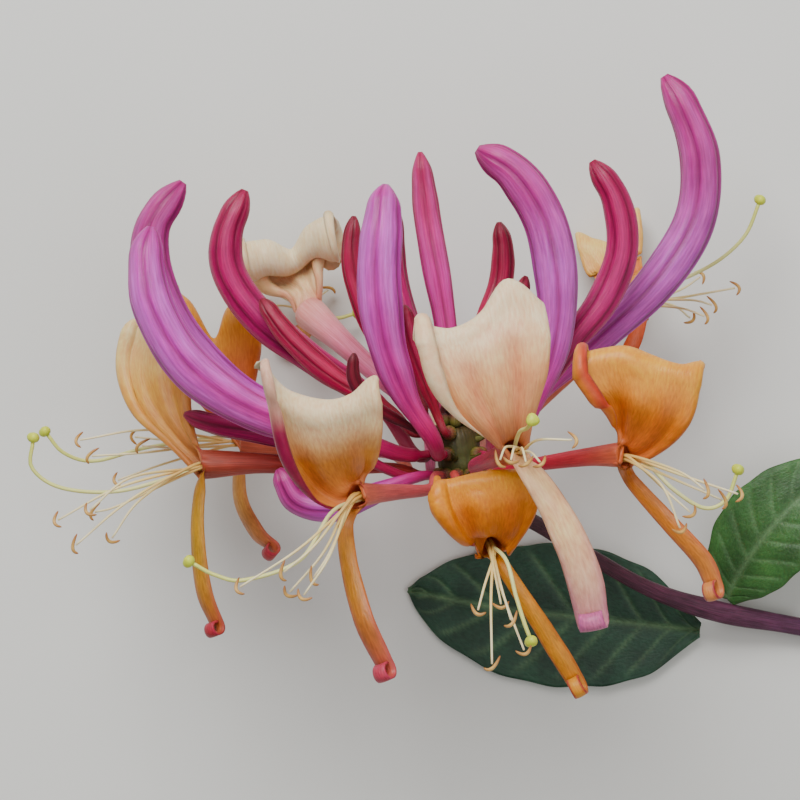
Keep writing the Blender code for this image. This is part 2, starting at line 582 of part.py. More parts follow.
def build_bud(name, place, points, fullest):
    """A closed bud: a slim tube that swells to a club."""
    path = spine(place, points, BUD_ROWS)
    radii = [between(BUD_OUTLINE, k / (BUD_ROWS - 1)) * fullest * MM for k in range(BUD_ROWS)]
    radii[0] = ROOT_RADIUS * MM
    return made_object(name, lambda mesh: tube_mesh(mesh, path, radii, BUD_SIDES), "bud_pink")


def build_corolla(name, flower):
    """A flower's tube with its broad rolled upper lip and its narrow curled lower lip."""
    path = spine(flower["root"], flower["tube"], TUBE_ROWS)
    wider = flower["mouth_radius"] - ROOT_RADIUS
    radii = [(ROOT_RADIUS + wider * (k / (TUBE_ROWS - 1)) ** TUBE_WIDENS) * MM for k in range(TUBE_ROWS)]
    thickness = PETAL_THICKNESS * MM
    body = made_object("corolla_" + name, lambda mesh: tube_mesh(mesh, path, radii, TUBE_SIDES),
                       "petal_apricot")
    lip = made_object("helper_lip_" + name, lambda mesh: sheet_mesh(mesh, lip_grid(flower), thickness),
                      "petal_apricot", helper=True)
    strap = made_object("helper_strap_" + name, lambda mesh: sheet_mesh(mesh, strap_grid(flower), thickness),
                        "petal_apricot", helper=True)
    union(body, lip, strap)
    return body


def build_stamens(name, flower):
    """Five filaments with hooked anthers, joined where they leave the throat."""
    throat, way = throat_of(flower)
    radius = HUB_RADIUS * MM
    hub = [throat + way * radius * onward for onward, _ in HUB_OUTLINE]
    widths = [radius * width for _, width in HUB_OUTLINE]
    body = made_object("stamens_" + name, lambda mesh: tube_mesh(mesh, hub, widths, HUB_SIDES),
                       "filament_ivory")
    slim, full = FILAMENT_RADIUS * MM, ANTHER_RADIUS * MM
    radii = [slim] * (FILAMENT_ROWS - 3) + [full, full, slim]
    for n, (middle, end) in enumerate(flower["stamens"]):
        path = stamen_path(flower, middle, end)
        piece = made_object(f"helper_stamen_{name}_{n}",
                            lambda mesh, line=path: tube_mesh(mesh, line, radii, FILAMENT_SIDES),
                            "filament_ivory", helper=True)
        union(body, piece)
    return body


def build_style(name, flower):
    """The long style with its round stigma."""
    path = smooth_line([at(p) for p in flower["style"]], STYLE_ROWS)
    tip, run = path[-1], (path[-1] - path[-2]).normalized()
    bulb = STIGMA_RADIUS * MM
    path += [tip + run * bulb * onward for onward, _ in STIGMA_OUTLINE]
    radii = [FILAMENT_RADIUS * MM] * STYLE_ROWS + [bulb * width for _, width in STIGMA_OUTLINE]
    return made_object("style_" + name, lambda mesh: tube_mesh(mesh, path, radii, STYLE_SIDES), "style_lime")


def build_receptacle():
    """The short axis that every flower sits on, with its ovaries and small bracts as one swollen body."""
    bottom, top = at(RECEPTACLE_BOTTOM), at(RECEPTACLE_TOP)
    path = [bottom.lerp(top, share) for share, _ in RECEPTACLE_OUTLINE]
    radii = [radius * MM for _, radius in RECEPTACLE_OUTLINE]
    return made_object("receptacle", lambda mesh: tube_mesh(mesh, path, radii, RECEPTACLE_SIDES),
                       "receptacle_green")


def build_stem():
    """The stem, from under the head to its cut end, swollen where the leaves join it."""
    path = smooth_line([at(p) for p in STEM], STEM_ROWS)
    radii = [along(STEM_RADII, k / (STEM_ROWS - 1)) * MM for k in range(STEM_ROWS)]
    return made_object("stem", lambda mesh: tube_mesh(mesh, path, radii, STEM_SIDES), "stem_purple")


def leaf_grid(points, widths, side):
    """A leaf blade, folded a little up from its midrib."""
    line = [at(p) for p in points]
    centres = [along(line, k / (LEAF_ROWS - 1)) for k in range(LEAF_ROWS)]
    ways = tangents(centres)
    across = Vector((side[0], -side[1], side[2])).normalized()
    grid = []
    for k, (centre, direction) in enumerate(zip(centres, ways)):
        half = max(LEAF_LEAST_HALF, along(widths, k / (LEAF_ROWS - 1))) * MM
        over = (across - direction * across.dot(direction)).normalized()
        up = direction.cross(over).normalized()
        if up.z < 0:
            up = -up
        grid.append([centre + over * half * u + up * LEAF_FOLD * half * u * u
                     for u in (2 * j / (LEAF_COLUMNS - 1) - 1 for j in range(LEAF_COLUMNS))])
    return grid


def build_leaf(name, points, widths, side):
    """One leaf blade, with its short stalk as the narrow start of the blade."""
    grid = leaf_grid(points, widths, side)
    return made_object(name, lambda mesh: sheet_mesh(mesh, grid, LEAF_THICKNESS * MM), "leaf_green")


def main():
    for old in list(bpy.data.objects):
        bpy.data.objects.remove(old)
    build_receptacle()
    build_stem()
    for name, (points, widths, side) in LEAVES.items():
        build_leaf(name, points, widths, side)
    for name, (place, points, fullest) in BUDS.items():
        build_bud(name, place, points, fullest)
    for name, flower in FLOWERS.items():
        build_corolla(name, flower)
        build_stamens(name, flower)
        build_style(name, flower)


main()
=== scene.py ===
"""Looks of a cut sprig of climbing honeysuckle that lies on its back on a table.

The sprig is drawn on a square sheet that lies over it and is looked at from straight above: x runs to
the right and y runs down, each in squares of the sheet, and the third number of a point is its height in
millimetres above the flower head's axis. The sheet is 100 mm wide at the height of that axis.
"""

import math

import bpy
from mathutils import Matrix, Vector, noise

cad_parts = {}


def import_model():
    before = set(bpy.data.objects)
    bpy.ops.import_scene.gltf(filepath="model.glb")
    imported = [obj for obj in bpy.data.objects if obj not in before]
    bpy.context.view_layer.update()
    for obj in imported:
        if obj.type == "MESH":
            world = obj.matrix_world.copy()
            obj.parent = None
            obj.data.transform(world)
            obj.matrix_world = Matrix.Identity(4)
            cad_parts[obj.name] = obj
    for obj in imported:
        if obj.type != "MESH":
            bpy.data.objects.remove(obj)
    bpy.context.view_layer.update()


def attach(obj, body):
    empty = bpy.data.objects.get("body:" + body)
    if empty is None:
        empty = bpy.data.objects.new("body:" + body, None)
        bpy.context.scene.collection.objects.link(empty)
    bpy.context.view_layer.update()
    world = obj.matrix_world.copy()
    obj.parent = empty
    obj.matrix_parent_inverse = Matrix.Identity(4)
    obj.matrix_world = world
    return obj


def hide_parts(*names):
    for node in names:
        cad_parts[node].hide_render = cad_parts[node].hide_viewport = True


MM = 0.001

# Driving dimensions of the sheet and of the head.
SHEET_SQUARES = 800
SHEET_WIDTH = 100 * MM
SQUARE = SHEET_WIDTH / SHEET_SQUARES
EYE_HEIGHT = 500 * MM
AXIS_HEIGHT = 36.2 * MM
SHEET_ORIGIN = (463.5, 385.5)

# Sizes that all flowers share.
RECEPTACLE_RADIUS = 2.7
RECEPTACLE_BOTTOM = (462, 482, 0)
RECEPTACLE_TOP = (456, 426, 0)
ROOT_GAP = 0.75
ROOT_RADIUS = 0.5
WHORL_LEVELS = (0.12, 0.5, 0.88)
STRAP_NARROW = 0.58
STIGMA_RADIUS = 0.8
THROAT_STEP = 2.2
THROAT_DROP = 0.5

# How an organ leaves the receptacle: the share of the way to its first point that it runs straight out,
# and where the ones at the very top stand, onward and outward from the axis end, in mm.
STUB_SHARE = 0.35
CORE_LIFT = 1.25
CORE_SPREAD = 1.5

# Where the lips leave the tube: off its middle as a share of its radius, and how far inside its end in mm.
MOUTH_INSET = 0.62
MOUTH_OVERLAP = 0.8

# How soon a lower lip reaches its full width, and how much its roll tightens by its end.
STRAP_WIDENS = 1.3
STRAP_TIGHTENS = 0.45

# A wrapped margin: how far it comes forward for each mm it turns in, and where across and along the lip.
WRAP_FORWARD = 1.5
WRAP_ACROSS = ((0.7, 0.0), (1.0, 1.0))
WRAP_ALONG = ((0.1, 0.0), (0.5, 1.0))

# Points on a smooth line before it is spaced evenly.
FINE_STEPS = 200

# Share of a bud's length, and its radius there as a share of the fullest radius.
BUD_OUTLINE = ((0.0, 0.30), (0.2, 0.42), (0.42, 0.80), (0.62, 1.0), (0.82, 0.96), (0.93, 0.80),
               (1.0, 0.52))

# Each bud: its place in the whorls (turn about the axis from the viewer's side, level), the points its
# spine passes after that, and its fullest radius in mm.
BUDS = {
    "bud_far_left_rear": ((255, 1), [(330, 427, -4), (250, 398, -3), (187, 343, -2), (155, 280, -1.5),
                                     (152, 228, -1.5), (183, 182, -1.5)], 2.6),
    "bud_far_left_front": ((283, 1), [(350, 437, 4), (262, 416, 6.5), (193, 371, 7), (156, 314, 7),
                                      (146, 264, 6.5), (151, 227, 6)], 2.75),
    "bud_left_low": ((280, 0), [(345, 451, 2.2), (265, 433, 0.3), (215, 424, -0.8), (184, 414, -1.6)], 1.5),
    "bud_left_magenta": ((230, 1), [(380, 405, -8), (320, 365, -9), (262, 320, -9), (230, 275, -9),
                                    (227, 235, -9), (245, 190, -9)], 2.3),
    "bud_left_crimson": ((265, 2), [(390, 410, -3), (335, 378, -4), (290, 338, -4.5), (261, 299, -5)], 1.5),
    "bud_slim_rear": ((225, 2), [(420, 395, -6), (378, 340, -8), (356, 285, -9), (351, 250, -9),
                                 (354, 216, -9)], 1.4),
    "bud_centre_left": ((330, 1), [(432, 438, 7), (405, 395, 8.5), (386, 340, 9.5), (379, 280, 9.5),
                                   (382, 225, 9), (386, 185, 8)], 2.8),
    "bud_centre_crimson": ((340, 2), [(437, 415, 3.5), (424, 380, 3.6), (411, 340, 3.4),
                                      (404, 305, 3.2)], 1.35),
    "bud_centre_magenta": ((195, 2), [(449, 380, -5), (446, 330, -6), (438, 280, -7), (427, 215, -8),
                                      (420, 152, -8)], 1.8),
    "bud_maroon_small": ((300, 2), [(405, 424, 5), (370, 403, 7), (354, 378, 8), (354, 353, 8.5)], 0.95),
    "bud_red_rear": ((160, 2), [(470, 380, -6), (484, 330, -7), (500, 285, -8), (503, 250, -8),
                                (499, 222, -8)], 1.6),
    "bud_pink_small": ((100, 2), [(487, 390, -2), (510, 335, -2.5), (526, 276, -3)], 1.15),
    "bud_right_lilac": ((50, 1), [(528, 415, 5), (552, 350, 4.5), (557, 290, 4), (546, 225, 3),
                                  (516, 175, 3), (477, 149, 3)], 2.8),
    "bud_right_magenta": ((78, 1), [(530, 408, -1), (565, 350, -2), (603, 300, -3), (622, 250, -3),
                                    (616, 200, -3), (592, 161, -3)], 2.1),
    "bud_far_right": ((104, 1), [(530, 405, -7), (585, 350, -9), (650, 290, -11), (693, 225, -12),
                                 (700, 160, -12), (682, 105, -12), (664, 76, -12)], 2.75),
    "bud_low_left": ((300, 0), [(395, 484, 4), (340, 507, 3.6), (298, 501, 3.4), (278, 469, 4)], 1.8),
    "bud_rear_left": ((186, 1), [(440, 395, -12), (410, 335, -17), (393, 270, -19), (394, 205, -18)], 1.9),
    "bud_rear_right": ((150, 1), [(500, 400, -13), (540, 340, -18), (554, 280, -20), (546, 225, -20)], 1.9),
    "bud_core_left": ((287, 3), [(447, 396, 0.6), (436, 362, 1)], 0.85),
    "bud_core_right": ((72, 3), [(470, 400, 0.8), (480, 378, 1)], 0.8),
    "bud_core_front": ((0, 3), [(458, 396, 4), (462, 370, 6)], 0.95),
    "bud_core_rear": ((144, 3), [(465, 395, -2.5), (470, 362, -3.5)], 0.9),
    "bud_core_low": ((216, 3), [(452, 396, -2.5), (448, 358, -3.5)], 0.9),
}

# Each open flower. tube: spine after the root, ending at the mouth. lip: centre line of the broad upper
# lip, with its half widths in mm to the left and right; crest and forward: how far its rolled edge stands
# off that line, onward and towards the viewer, at five places across; wrap: how far its left and right
# margins turn in; cup: how far its sides lie behind its middle; back: the way it rolls, with the roll's
# radius and turn. strap: centre line of the narrow lower lip, with the direction of its width at the mouth
# and at the tip, its half width, and the radius and turn of its roll. stamens: a middle and an end for
# each. style: the points it passes.
FLOWERS = {
    "left": {
        "root": (260, 0),
        "tube": [(395, 468, 0), (330, 468, 0), (262, 463, 0), (203, 464, 0)],
        "mouth_radius": 1.6,
        "lip": [(182, 436, -3), (162, 400, -5.5), (154, 364, -7), (157, 336, -7.5)],
        "left": [1.8, 4.0, 4.8, 4.4], "right": [1.8, 4.0, 4.8, 4.4],
        "crest": [0, 0.4, 0.6, 0.4, 0], "forward": [0.8, 0, 0, 0, 0], "wrap": (0.6, 0.2),
        "back": (0.45, 0.2, -0.9), "roll": (1.6, 220), "cup": 1.0,
        "strap": [(201, 484, 1), (197, 530, 2), (203, 590, 3), (217, 626, 3)],
        "strap_side": ((0.8, 0, 0.6), (0.8, 0.1, 0.6)), "strap_width": 1.15, "strap_roll": (1.3, 290),
        "stamens": [((120, 487, 4), (58, 520, 4)), ((130, 500, 6), (76, 545, 7)),
                    ((140, 500, 2), (112, 538, 3)), ((130, 478, 7), (90, 510, 8)),
                    ((120, 505, 1.5), (95, 512, 1))],
        "style": [(188, 472, -1.9), (120, 491, -3), (62, 488, -3), (32, 468, -3), (33, 441, -3)],
    },
    "left_rear": {
        "root": (235, 0),
        "tube": [(390, 452, -11), (310, 448, -15), (246, 440, -17)],
        "mouth_radius": 1.8,
        "lip": [(234, 418, -17), (220, 372, -17.5), (213, 334, -17.5)],
        "left": [2.0, 4.4, 4.4], "right": [2.4, 4.6, 5.2],
        "crest": [3.4, 2.6, -1.4, 0.8, 0.6], "forward": [1.6, 0.8, 0, 0.8, 1.2], "wrap": (0, 0),
        "back": (0, 0.2, -1), "roll": (2.5, 240), "cup": 0.9,
        "strap": [(240, 462, -15), (240, 500, -13), (256, 533, -12), (272, 547, -12)],
        "strap_side": ((0.8, 0, 0.6), (0.6, -0.3, 0.7)), "strap_width": 1.25, "strap_roll": (1.3, 280),
        "stamens": [((150, 430, -17), (80, 440, -16)), ((150, 452, -14), (92, 456, -13)),
                    ((170, 440, -20), (135, 437, -21)), ((170, 462, -17), (118, 480, -16)),
                    ((180, 448, -12), (142, 446, -11))],
        "style": [(232, 436, -20.2), (150, 447, -22.6), (95, 461, -22.6), (64, 453, -22), (47, 434, -22)],
    },
    "front_left": {
        "root": (320, 0),
        "tube": [(430, 489, 7), (398, 492, 12), (356, 495, 19)],
        "mouth_radius": 1.4,
        "lip": [(346, 481, 19.4), (332, 452, 24), (323, 420, 26.5)],
        "left": [5.0, 6.9, 6.8], "right": [3.2, 5.6, 6.8],
        "crest": [6.4, 1.5, -0.4, 0, 0.4], "forward": [0.5, 0, 0, 0, 0.6], "wrap": (1.2, 0.2),
        "back": (0.15, 0.1, -1), "roll": (1.9, 200), "cup": 1.0,
        "strap": [(346, 522, 18.8), (349, 565, 22), (364, 622, 25), (386, 668, 24.5)],
        "strap_side": ((0.9, 0, 0.3), (0.8, -0.3, 0.5)), "strap_width": 1.25, "strap_roll": (1.5, 290),
        "stamens": [((300, 548, 29), (240, 587, 30)), ((315, 545, 31), (284, 572, 32)),
                    ((325, 550, 29), (290, 592, 30)), ((330, 555, 31), (304, 595, 32)),
                    ((330, 552, 29.5), (314, 577, 30.5))],
        "style": [(332, 512, 21), (300, 560, 24.5), (245, 580, 25), (215, 575, 25), (192, 563, 25)],
    },
    "front_centre": {
        "root": (22, 0),
        "tube": [(474, 466, 11), (493, 459, 19.5), (513, 450, 26)],
        "mouth_radius": 1.4,
        "lip": [(507, 432, 29), (498, 395, 31), (490, 360, 31.5), (486, 336, 31)],
        "left": [2.6, 5.2, 6.4, 7.2], "right": [2.8, 5.8, 7.2, 7.4],
        "crest": [0.2, 0.2, 1.6, 5.0, 1.6], "forward": [2.2, 0.4, 0, 0, 0.4], "wrap": (0, 0.3),
        "back": (0, 0.1, -1), "roll": (1.6, 220), "cup": 1.6,
        "strap": [(524, 462, 29), (553, 505, 32), (580, 565, 33), (592, 618, 32)],
        "strap_side": ((0.95, 0.3, 0), (1, 0.05, 0.1)), "strap_width": 2.0, "strap_roll": (1.5, 270),
        "stamens": [((538, 440, 34), (572, 440, 35)), ((506, 447, 33), (500, 460, 34)),
                    ((514, 448, 34), (511, 460, 36)), ((530, 452, 33), (540, 462, 35)),
                    ((522, 448, 34), (526, 462, 37))],
        "style": [(519, 433, 30.5), (527, 428, 33), (532, 421, 36)],
    },
    "right": {
        "root": (62, 0),
        "tube": [(500, 470, 6), (545, 463, 10), (590, 457, 14), (624, 455, 17.5)],
        "mouth_radius": 1.35,
        "lip": [(632, 438, 18.2), (645, 408, 21.3), (650, 377, 22)],
        "left": [2.6, 5.6, 8.6], "right": [3.2, 5.2, 5.8],
        "crest": [-0.6, 1.2, 0.4, 0.2, -0.2], "forward": [2.0, 0.6, 0, 0, 0.4], "wrap": (0.4, 0.2),
        "back": (0.1, 0.15, -1), "roll": (1.8, 220), "cup": 1.6,
        "strap": [(631, 480, 15), (670, 524, 18.5), (702, 560, 19.5), (714, 586, 19)],
        "strap_side": ((0.8, -0.4, 0.4), (0.7, -0.5, 0.5)), "strap_width": 1.15, "strap_roll": (1.6, 290),
        "stamens": [((690, 478, 24), (738, 494, 25)), ((680, 472, 28), (705, 490, 29.5)),
                    ((665, 490, 26), (690, 512, 27)), ((662, 486, 26.5), (680, 528, 27.5)),
                    ((690, 486, 27), (722, 500, 26))],
        "style": [(644, 462, 16.4), (674, 490, 17.5), (704, 508, 17.5), (726, 500, 17.5), (737, 473, 17.5)],
    },
    "front_low": {
        "root": (350, 0),
        "tube": [(468, 498, 7), (480, 522, 12.5), (490, 544, 18)],
        "mouth_radius": 1.6,
        "lip": [(491, 534, 21), (489, 508, 23), (486, 486, 23.2)],
        "left": [4.2, 6.0, 6.4], "right": [4.2, 5.9, 6.1],
        "crest": [-0.4, 0.2, 0.2, 0.2, 0], "forward": [1.2, 0, 0, 0, 0.4], "wrap": (0.9, 0.4),
        "back": (0, 0.1, -1), "roll": (1.3, 180), "cup": 2.0,
        "strap": [(504, 568, 19.5), (530, 608, 21), (558, 652, 21), (576, 682, 20)],
        "strap_side": ((0.9, -0.4, 0.2), (1, -0.3, 0.1)), "strap_width": 1.05, "strap_roll": (1.7, 300),
        "stamens": [((485, 584, 24.5), (478, 610, 26)), ((491, 600, 26), (492, 664, 28)),
                    ((497, 584, 25), (501, 604, 26.5)), ((505, 600, 26.6), (524, 650, 29)),
                    ((501, 586, 28.5), (511, 620, 31))],
        "style": [(506, 560, 22.5), (516, 596, 24.4), (524, 622, 25.4), (530, 638, 26)],
    },
    "right_rear": {
        "root": (125, 0),
        "tube": [(520, 425, -12), (575, 365, -18), (634, 308, -23)],
        "mouth_radius": 1.8,
        "lip": [(628, 288, -27), (616, 265, -30), (612, 245, -31)],
        "left": [2.0, 3.4, 4.0], "right": [2.0, 3.6, 4.2],
        "crest": [2.4, 1.8, -0.6, -0.2, 0.4], "forward": [1.2, 0.4, 0, 0.4, 1.0], "wrap": (0, 0),
        "back": (0.1, 0.2, -1), "roll": (2.1, 220), "cup": 0.9,
        "strap": [(640, 318, -21), (634, 340, -19), (618, 370, -18), (602, 395, -18)],
        "strap_side": ((0.8, 0.3, 0.5), (0.7, 0.4, 0.5)), "strap_width": 1.2, "strap_roll": (1.2, 260),
        "stamens": [((690, 296, -24), (735, 288, -24)), ((690, 300, -20), (712, 305, -19)),
                    ((672, 305, -26), (690, 318, -27)), ((680, 290, -28), (700, 277, -29)),
                    ((680, 308, -18), (704, 316, -16.5))],
        "style": [(650, 292, -22.5), (690, 276, -22), (722, 258, -22), (746, 234, -22), (759, 203, -22)],
    },
    "upper_left_rear": {
        "root": (208, 0),
        "tube": [(425, 420, -13), (378, 375, -17.5), (338, 338, -21.5), (310, 313, -27)],
        "mouth_radius": 1.9,
        "lip": [(305, 288, -26.6), (296, 270, -28.2), (292, 254, -28)],
        "left": [2.2, 4.6, 6.0], "right": [2.2, 4.6, 6.0],
        "crest": [0.2, 0.2, -1.0, 1.0, 0.8], "forward": [0, 0, 0, 0, 0], "wrap": (0, 0),
        "back": (0, 0.2, 1), "roll": (2.5, 250), "cup": 0.9,
        "strap": [(306, 328, -29), (298, 338, -32.6), (284, 344, -34.4)],
        "strap_side": ((0.2, 0.95, 0), (0.2, 0.95, 0)), "strap_width": 1.6, "strap_roll": (1.0, 200),
        "stamens": [((286, 306, -32.5), (262, 306, -33.5)), ((284, 298, -33.3), (264, 290, -34.3)),
                    ((294, 296, -33.8), (282, 280, -34.8)), ((304, 292, -33.8), (306, 274, -34.8)),
                    ((316, 300, -33), (328, 290, -34.5))],
        "style": [(322, 316, -31), (338, 318, -32), (354, 314, -32)],
    },
    "rear": {
        "root": (180, 0),
        "tube": [(464, 484, -12), (468, 489, -20), (472, 492, -28)],
        "mouth_radius": 1.8,
        "lip": [(472, 476, -32), (471, 456, -34.2), (470, 436, -35)],
        "left": [2.0, 4.4, 5.4], "right": [2.0, 4.4, 5.4],
        "crest": [0.4, 0.6, 0, 0.6, 0.4], "forward": [0, 0, 0, 0, 0], "wrap": (0, 0),
        "back": (0, 0.2, 1), "roll": (1.8, 180), "cup": 0.4,
        "strap": [(474, 508, -31), (476, 524, -33), (477, 534, -33.8)],
        "strap_side": ((1, 0, 0), (1, 0.1, 0)), "strap_width": 1.7, "strap_roll": (1.2, 200),
        "stamens": [((458, 496, -32.5), (440, 504, -34)), ((456, 490, -33.2), (436, 488, -34.8)),
                    ((486, 490, -32.5), (506, 490, -34.2)), ((486, 498, -33.4), (502, 508, -34.8)),
                    ((462, 504, -33), (450, 520, -34.6))],
        "style": [(490, 496, -30), (510, 500, -31), (530, 498, -31.4)],
    },
}

# The stem: the points of its centre line and its radius there in mm. It swells where the leaves join it.
STEM = [(466, 492, -3), (488, 502, -12), (530, 520, -21), (590, 556, -27), (652, 590, -30.4),
        (716, 611, -32.4), (790, 625, -34.1), (868, 640, -34.95)]
STEM_RADII = [1.7, 1.15, 1.05, 1.05, 1.1, 1.5, 1.25, 1.25]

# Each leaf: the points of its midrib, its half widths in mm there, and the direction of its width.
LEAVES = {
    "leaf_left": ([(700, 630, -35), (650, 625, -35.4), (590, 618, -35.7), (520, 611, -35.8),
                   (450, 599, -35.7), (408, 590, -35.5)], [0.9, 6.8, 9.2, 9.0, 5.6, 0.7], (0.05, 1, 0)),
    "leaf_right": ([(727, 599, -32.6), (740, 572, -30.6), (768, 532, -28.6), (806, 492, -28),
                    (846, 462, -29)], [1.2, 5.0, 6.6, 5.0, 0.7], (0.8, 0.6, 0.25)),
}
LEAF_FOLD = 0.08

# How finely each kind of piece is drawn: rows or steps along it, and sides or columns across it.
RING = 44
TUBE_ROWS = 28
LIP_ROWS = 34
LIP_ROLL_ROWS = 14
STRAP_ROWS = 40
STRAP_ROLL_ROWS = 18
MARGIN_COLUMNS = 7
BUD_ROWS = 72
BUD_SIDES = 60
THIN_BUD = 1.3
THIN_BUD_SIDES = 40
LINE_STEPS = 80
THREAD_SIDES = 8
FILAMENT_ROWS = 26
ANTHER_STEPS = 7
STYLE_ROWS = 40
STYLE_SIDES = 10
STIGMA_STEPS = 12
STIGMA_SIDES = 16
CORE_STEPS = 24
CORE_SIDES = 32
OVARY_STEPS = 10
OVARY_SIDES = 14
BRACT_STEPS = 8
STEM_STEPS = 160
STEM_ROWS = 120
STEM_SIDES = 28
LEAF_ROWS = 90
LEAF_COLUMNS = 44

# The sides of a tube are counted from this direction, which no tube runs in.
FIRST_SIDE = Vector((0.31, 0.22, 0.93))

# The mouth's ring of points starts at the middle of the lower lip. The upper lip takes it from LIP_FIRST
# on, at either side, and the lower lip takes the columns before that, less a gap.
LIP_FIRST = 6
STRAP_GAP = 1

# How far ahead and behind the direction of a middle line is read, as a share of the line.
LIP_STEP = 0.03
LEAF_STEP = 0.02

# Buds: the share where the root ends and where the rounded tip begins and ends, the two lobes of the tip,
# the five seams that turn a little on the way, with painted shade along their grooves, and the painted
# highlight on the ridges between them.
BUD_ROOT = 0.04
BUD_DOME = 0.955
BUD_TIP = 1.004
TIP_BEGINS = 0.9
TIP_NOTCH = 0.25
TIP_DULLS = 0.6
BUD_SEAMS = 5
SEAM_TWIST = 0.35
SEAM_WIDTH = 0.11
SEAM_DEPTH = 0.10
SEAM_SHADE = 0.75
SEAM_GROWS = (0.1, 0.35)
RIDGE_WIDTH = 0.2
RIDGE_HIGHLIGHT = 0.32
RIDGE_GROWS = (0.15, 0.5)

# A flower's tube: how soon it widens, how much it flares at the mouth and from where, and its five ribs.
TUBE_GROWTH = 1.2
THROAT_FLARE = 1.16
THROAT_BEGINS = 0.75
TUBE_RIBS = 5
TUBE_RIB = 0.04

# The upper lip, in mm or as shares: where it has left the mouth's ring for its own shape, its pleats, its
# uneven face, and its roll, which flares at the corners and waves.
LIP_BLEND = 0.36
LOW_LIP_BLEND = 0.55
LIP_ONWARD = 2.2
PLEAT_DEPTH = 0.22
PLEAT_TURNS = 9.0
PLEAT_SPEED = 1.1
LIP_WAVER = 0.35
WAVER_ACROSS = 2.2
WAVER_ALONG = 2.5
CORNER_FLARE = 0.35
CORNER_BEGINS = 0.55
RIM_WAVE = 0.12
RIM_WAVES = 5
PINCH_WIDTH = 0.24
LIP_TIGHTENS = 0.3

# The side margins of the upper lip: how far they turn, how thick they are where they don't roll, and how
# a roll grows along the lip and tightens across it and where the rim rolls too.
MARGIN_TURN = math.radians(240)
MARGIN_BEAD = 0.10
MARGIN_GROWS = (0.2, 0.75)
MARGIN_TIGHTENS = 0.2
MARGIN_ENDS = 0.85
MARGIN_GRAIN = 0.1
MARGIN_TINT_EASE = 0.1

# How wide the side margins of a flower's upper lip roll, left and right, in mm. Below 0 they roll forward.
SIDE_ROLLS = {
    "front_centre": (-1.4, 0.2), "right": (-1.2, 0.4), "front_left": (-0.9, 0.3), "front_low": (0.9, 0.3),
    "left": (0.6, 0.2), "left_rear": (1.3, 1.2), "upper_left_rear": (1.2, 1.2), "right_rear": (0.05, 0.05),
}
# How much the roll of an upper lip tightens in its middle, so that it makes two lobes.
ROLL_PINCHES = {"left_rear": 0.55, "right_rear": 0.4, "upper_left_rear": 0.25}

# The lower lip: where it has left the mouth's ring, its hollow, its uneven width and how it narrows.
STRAP_BLEND = 0.16
STRAP_ONWARD = 1.2
STRAP_HOLLOW = -0.35
STRAP_UNEVEN = 0.05
STRAP_UNEVEN_ALONG = 6
STRAP_NARROWS = 0.10
STRAP_NARROWS_FROM = 0.85
STRAP_ROLL_NARROWS = 0.22
PETAL_LOOK_THICKNESS = 0.32

# How the colours lie on the lips: how much of each list its flat part takes, the streaks at either side of
# the upper lip's middle, and how strongly the lower lip's edges are tinted inside.
LIP_FLAT = 0.85
STREAK_STRENGTH = 0.5
STREAK_PLACE = 0.45
STREAK_WIDTH = 0.16
STREAK_STRETCH = (0.05, 0.3, 0.6, 0.95)
STRAP_FLAT = 0.9
STRAP_OUTSIDE_FLAT = 0.8
STRAP_EDGE = (0.5, 0.95)
STRAP_EDGE_TINT = 0.45

# Stamens: where they start, behind the throat and off its middle in mm, and their radius there and its
# loss by the end. Anthers: half length, the lean of each, their bow, and their radius.
STAMEN_STARTS = (4, 1.2)
STAMEN_SPREAD = 0.35
STAMEN_FORWARD = 0.3
FILAMENT_START = 0.22
FILAMENT_THINS = 0.09
ANTHER_HALF = 1.15
ANTHER_ACROSS = 0.85
ANTHER_LEAN = 0.45
ANTHER_LEAN_TURN = 1.9
ANTHER_TILT = 0.4
ANTHER_TILT_TURN = 2.1
ANTHER_LIFT = 0.55
ANTHER_BOW = 0.8
ANTHER_BOW_MIDDLE = 0.15
ANTHER_END = 0.05
ANTHER_SWELLS = 0.17

# Styles: how far behind the throat they start, their radius, and the three-lobed stigma.
STYLE_START = 3.4
STYLE_RADIUS = 0.25
STIGMA_LENGTH = 1.7
STIGMA_OVERLAP = 0.25
STIGMA_END = 0.06
STIGMA_LOBES = 3
STIGMA_LOBE = 0.14

# The receptacle, its ovaries and its bracts, in mm or as shares.
CORE_END = 0.35
CORE_ROUNDING = 4
OVARY_LENGTH = 1.7
OVARY_RADIUS = 0.95
OVARY_BEHIND = 0.85
OVARY_END = 0.3
TOP_OVARY = 0.8
BRACTS = 14
BRACT_LEVELS = 3
BRACT_FIRST = 0.1
BRACT_RISE = 0.33
BRACT_SUNK = 0.5
BRACT_STEP = 0.28
BRACT_BEND = 0.012
BRACT_RADIUS = 0.5
BRACT_TIP = 0.06

# The stem's bark: its radius as a share, and its long ridges.
STEM_CORE = 0.96
STEM_RIDGE = 0.03
STEM_RIDGES = 6
STEM_TWIST = 3

# Uneven swellings: their height, and how quickly they change around a piece and along it.
BUD_SWELL = (0.025, 1.3, 9)
CORE_SWELL = (0.05, 3, 8)
STEM_SWELL = (0.03, 1.5, 22)

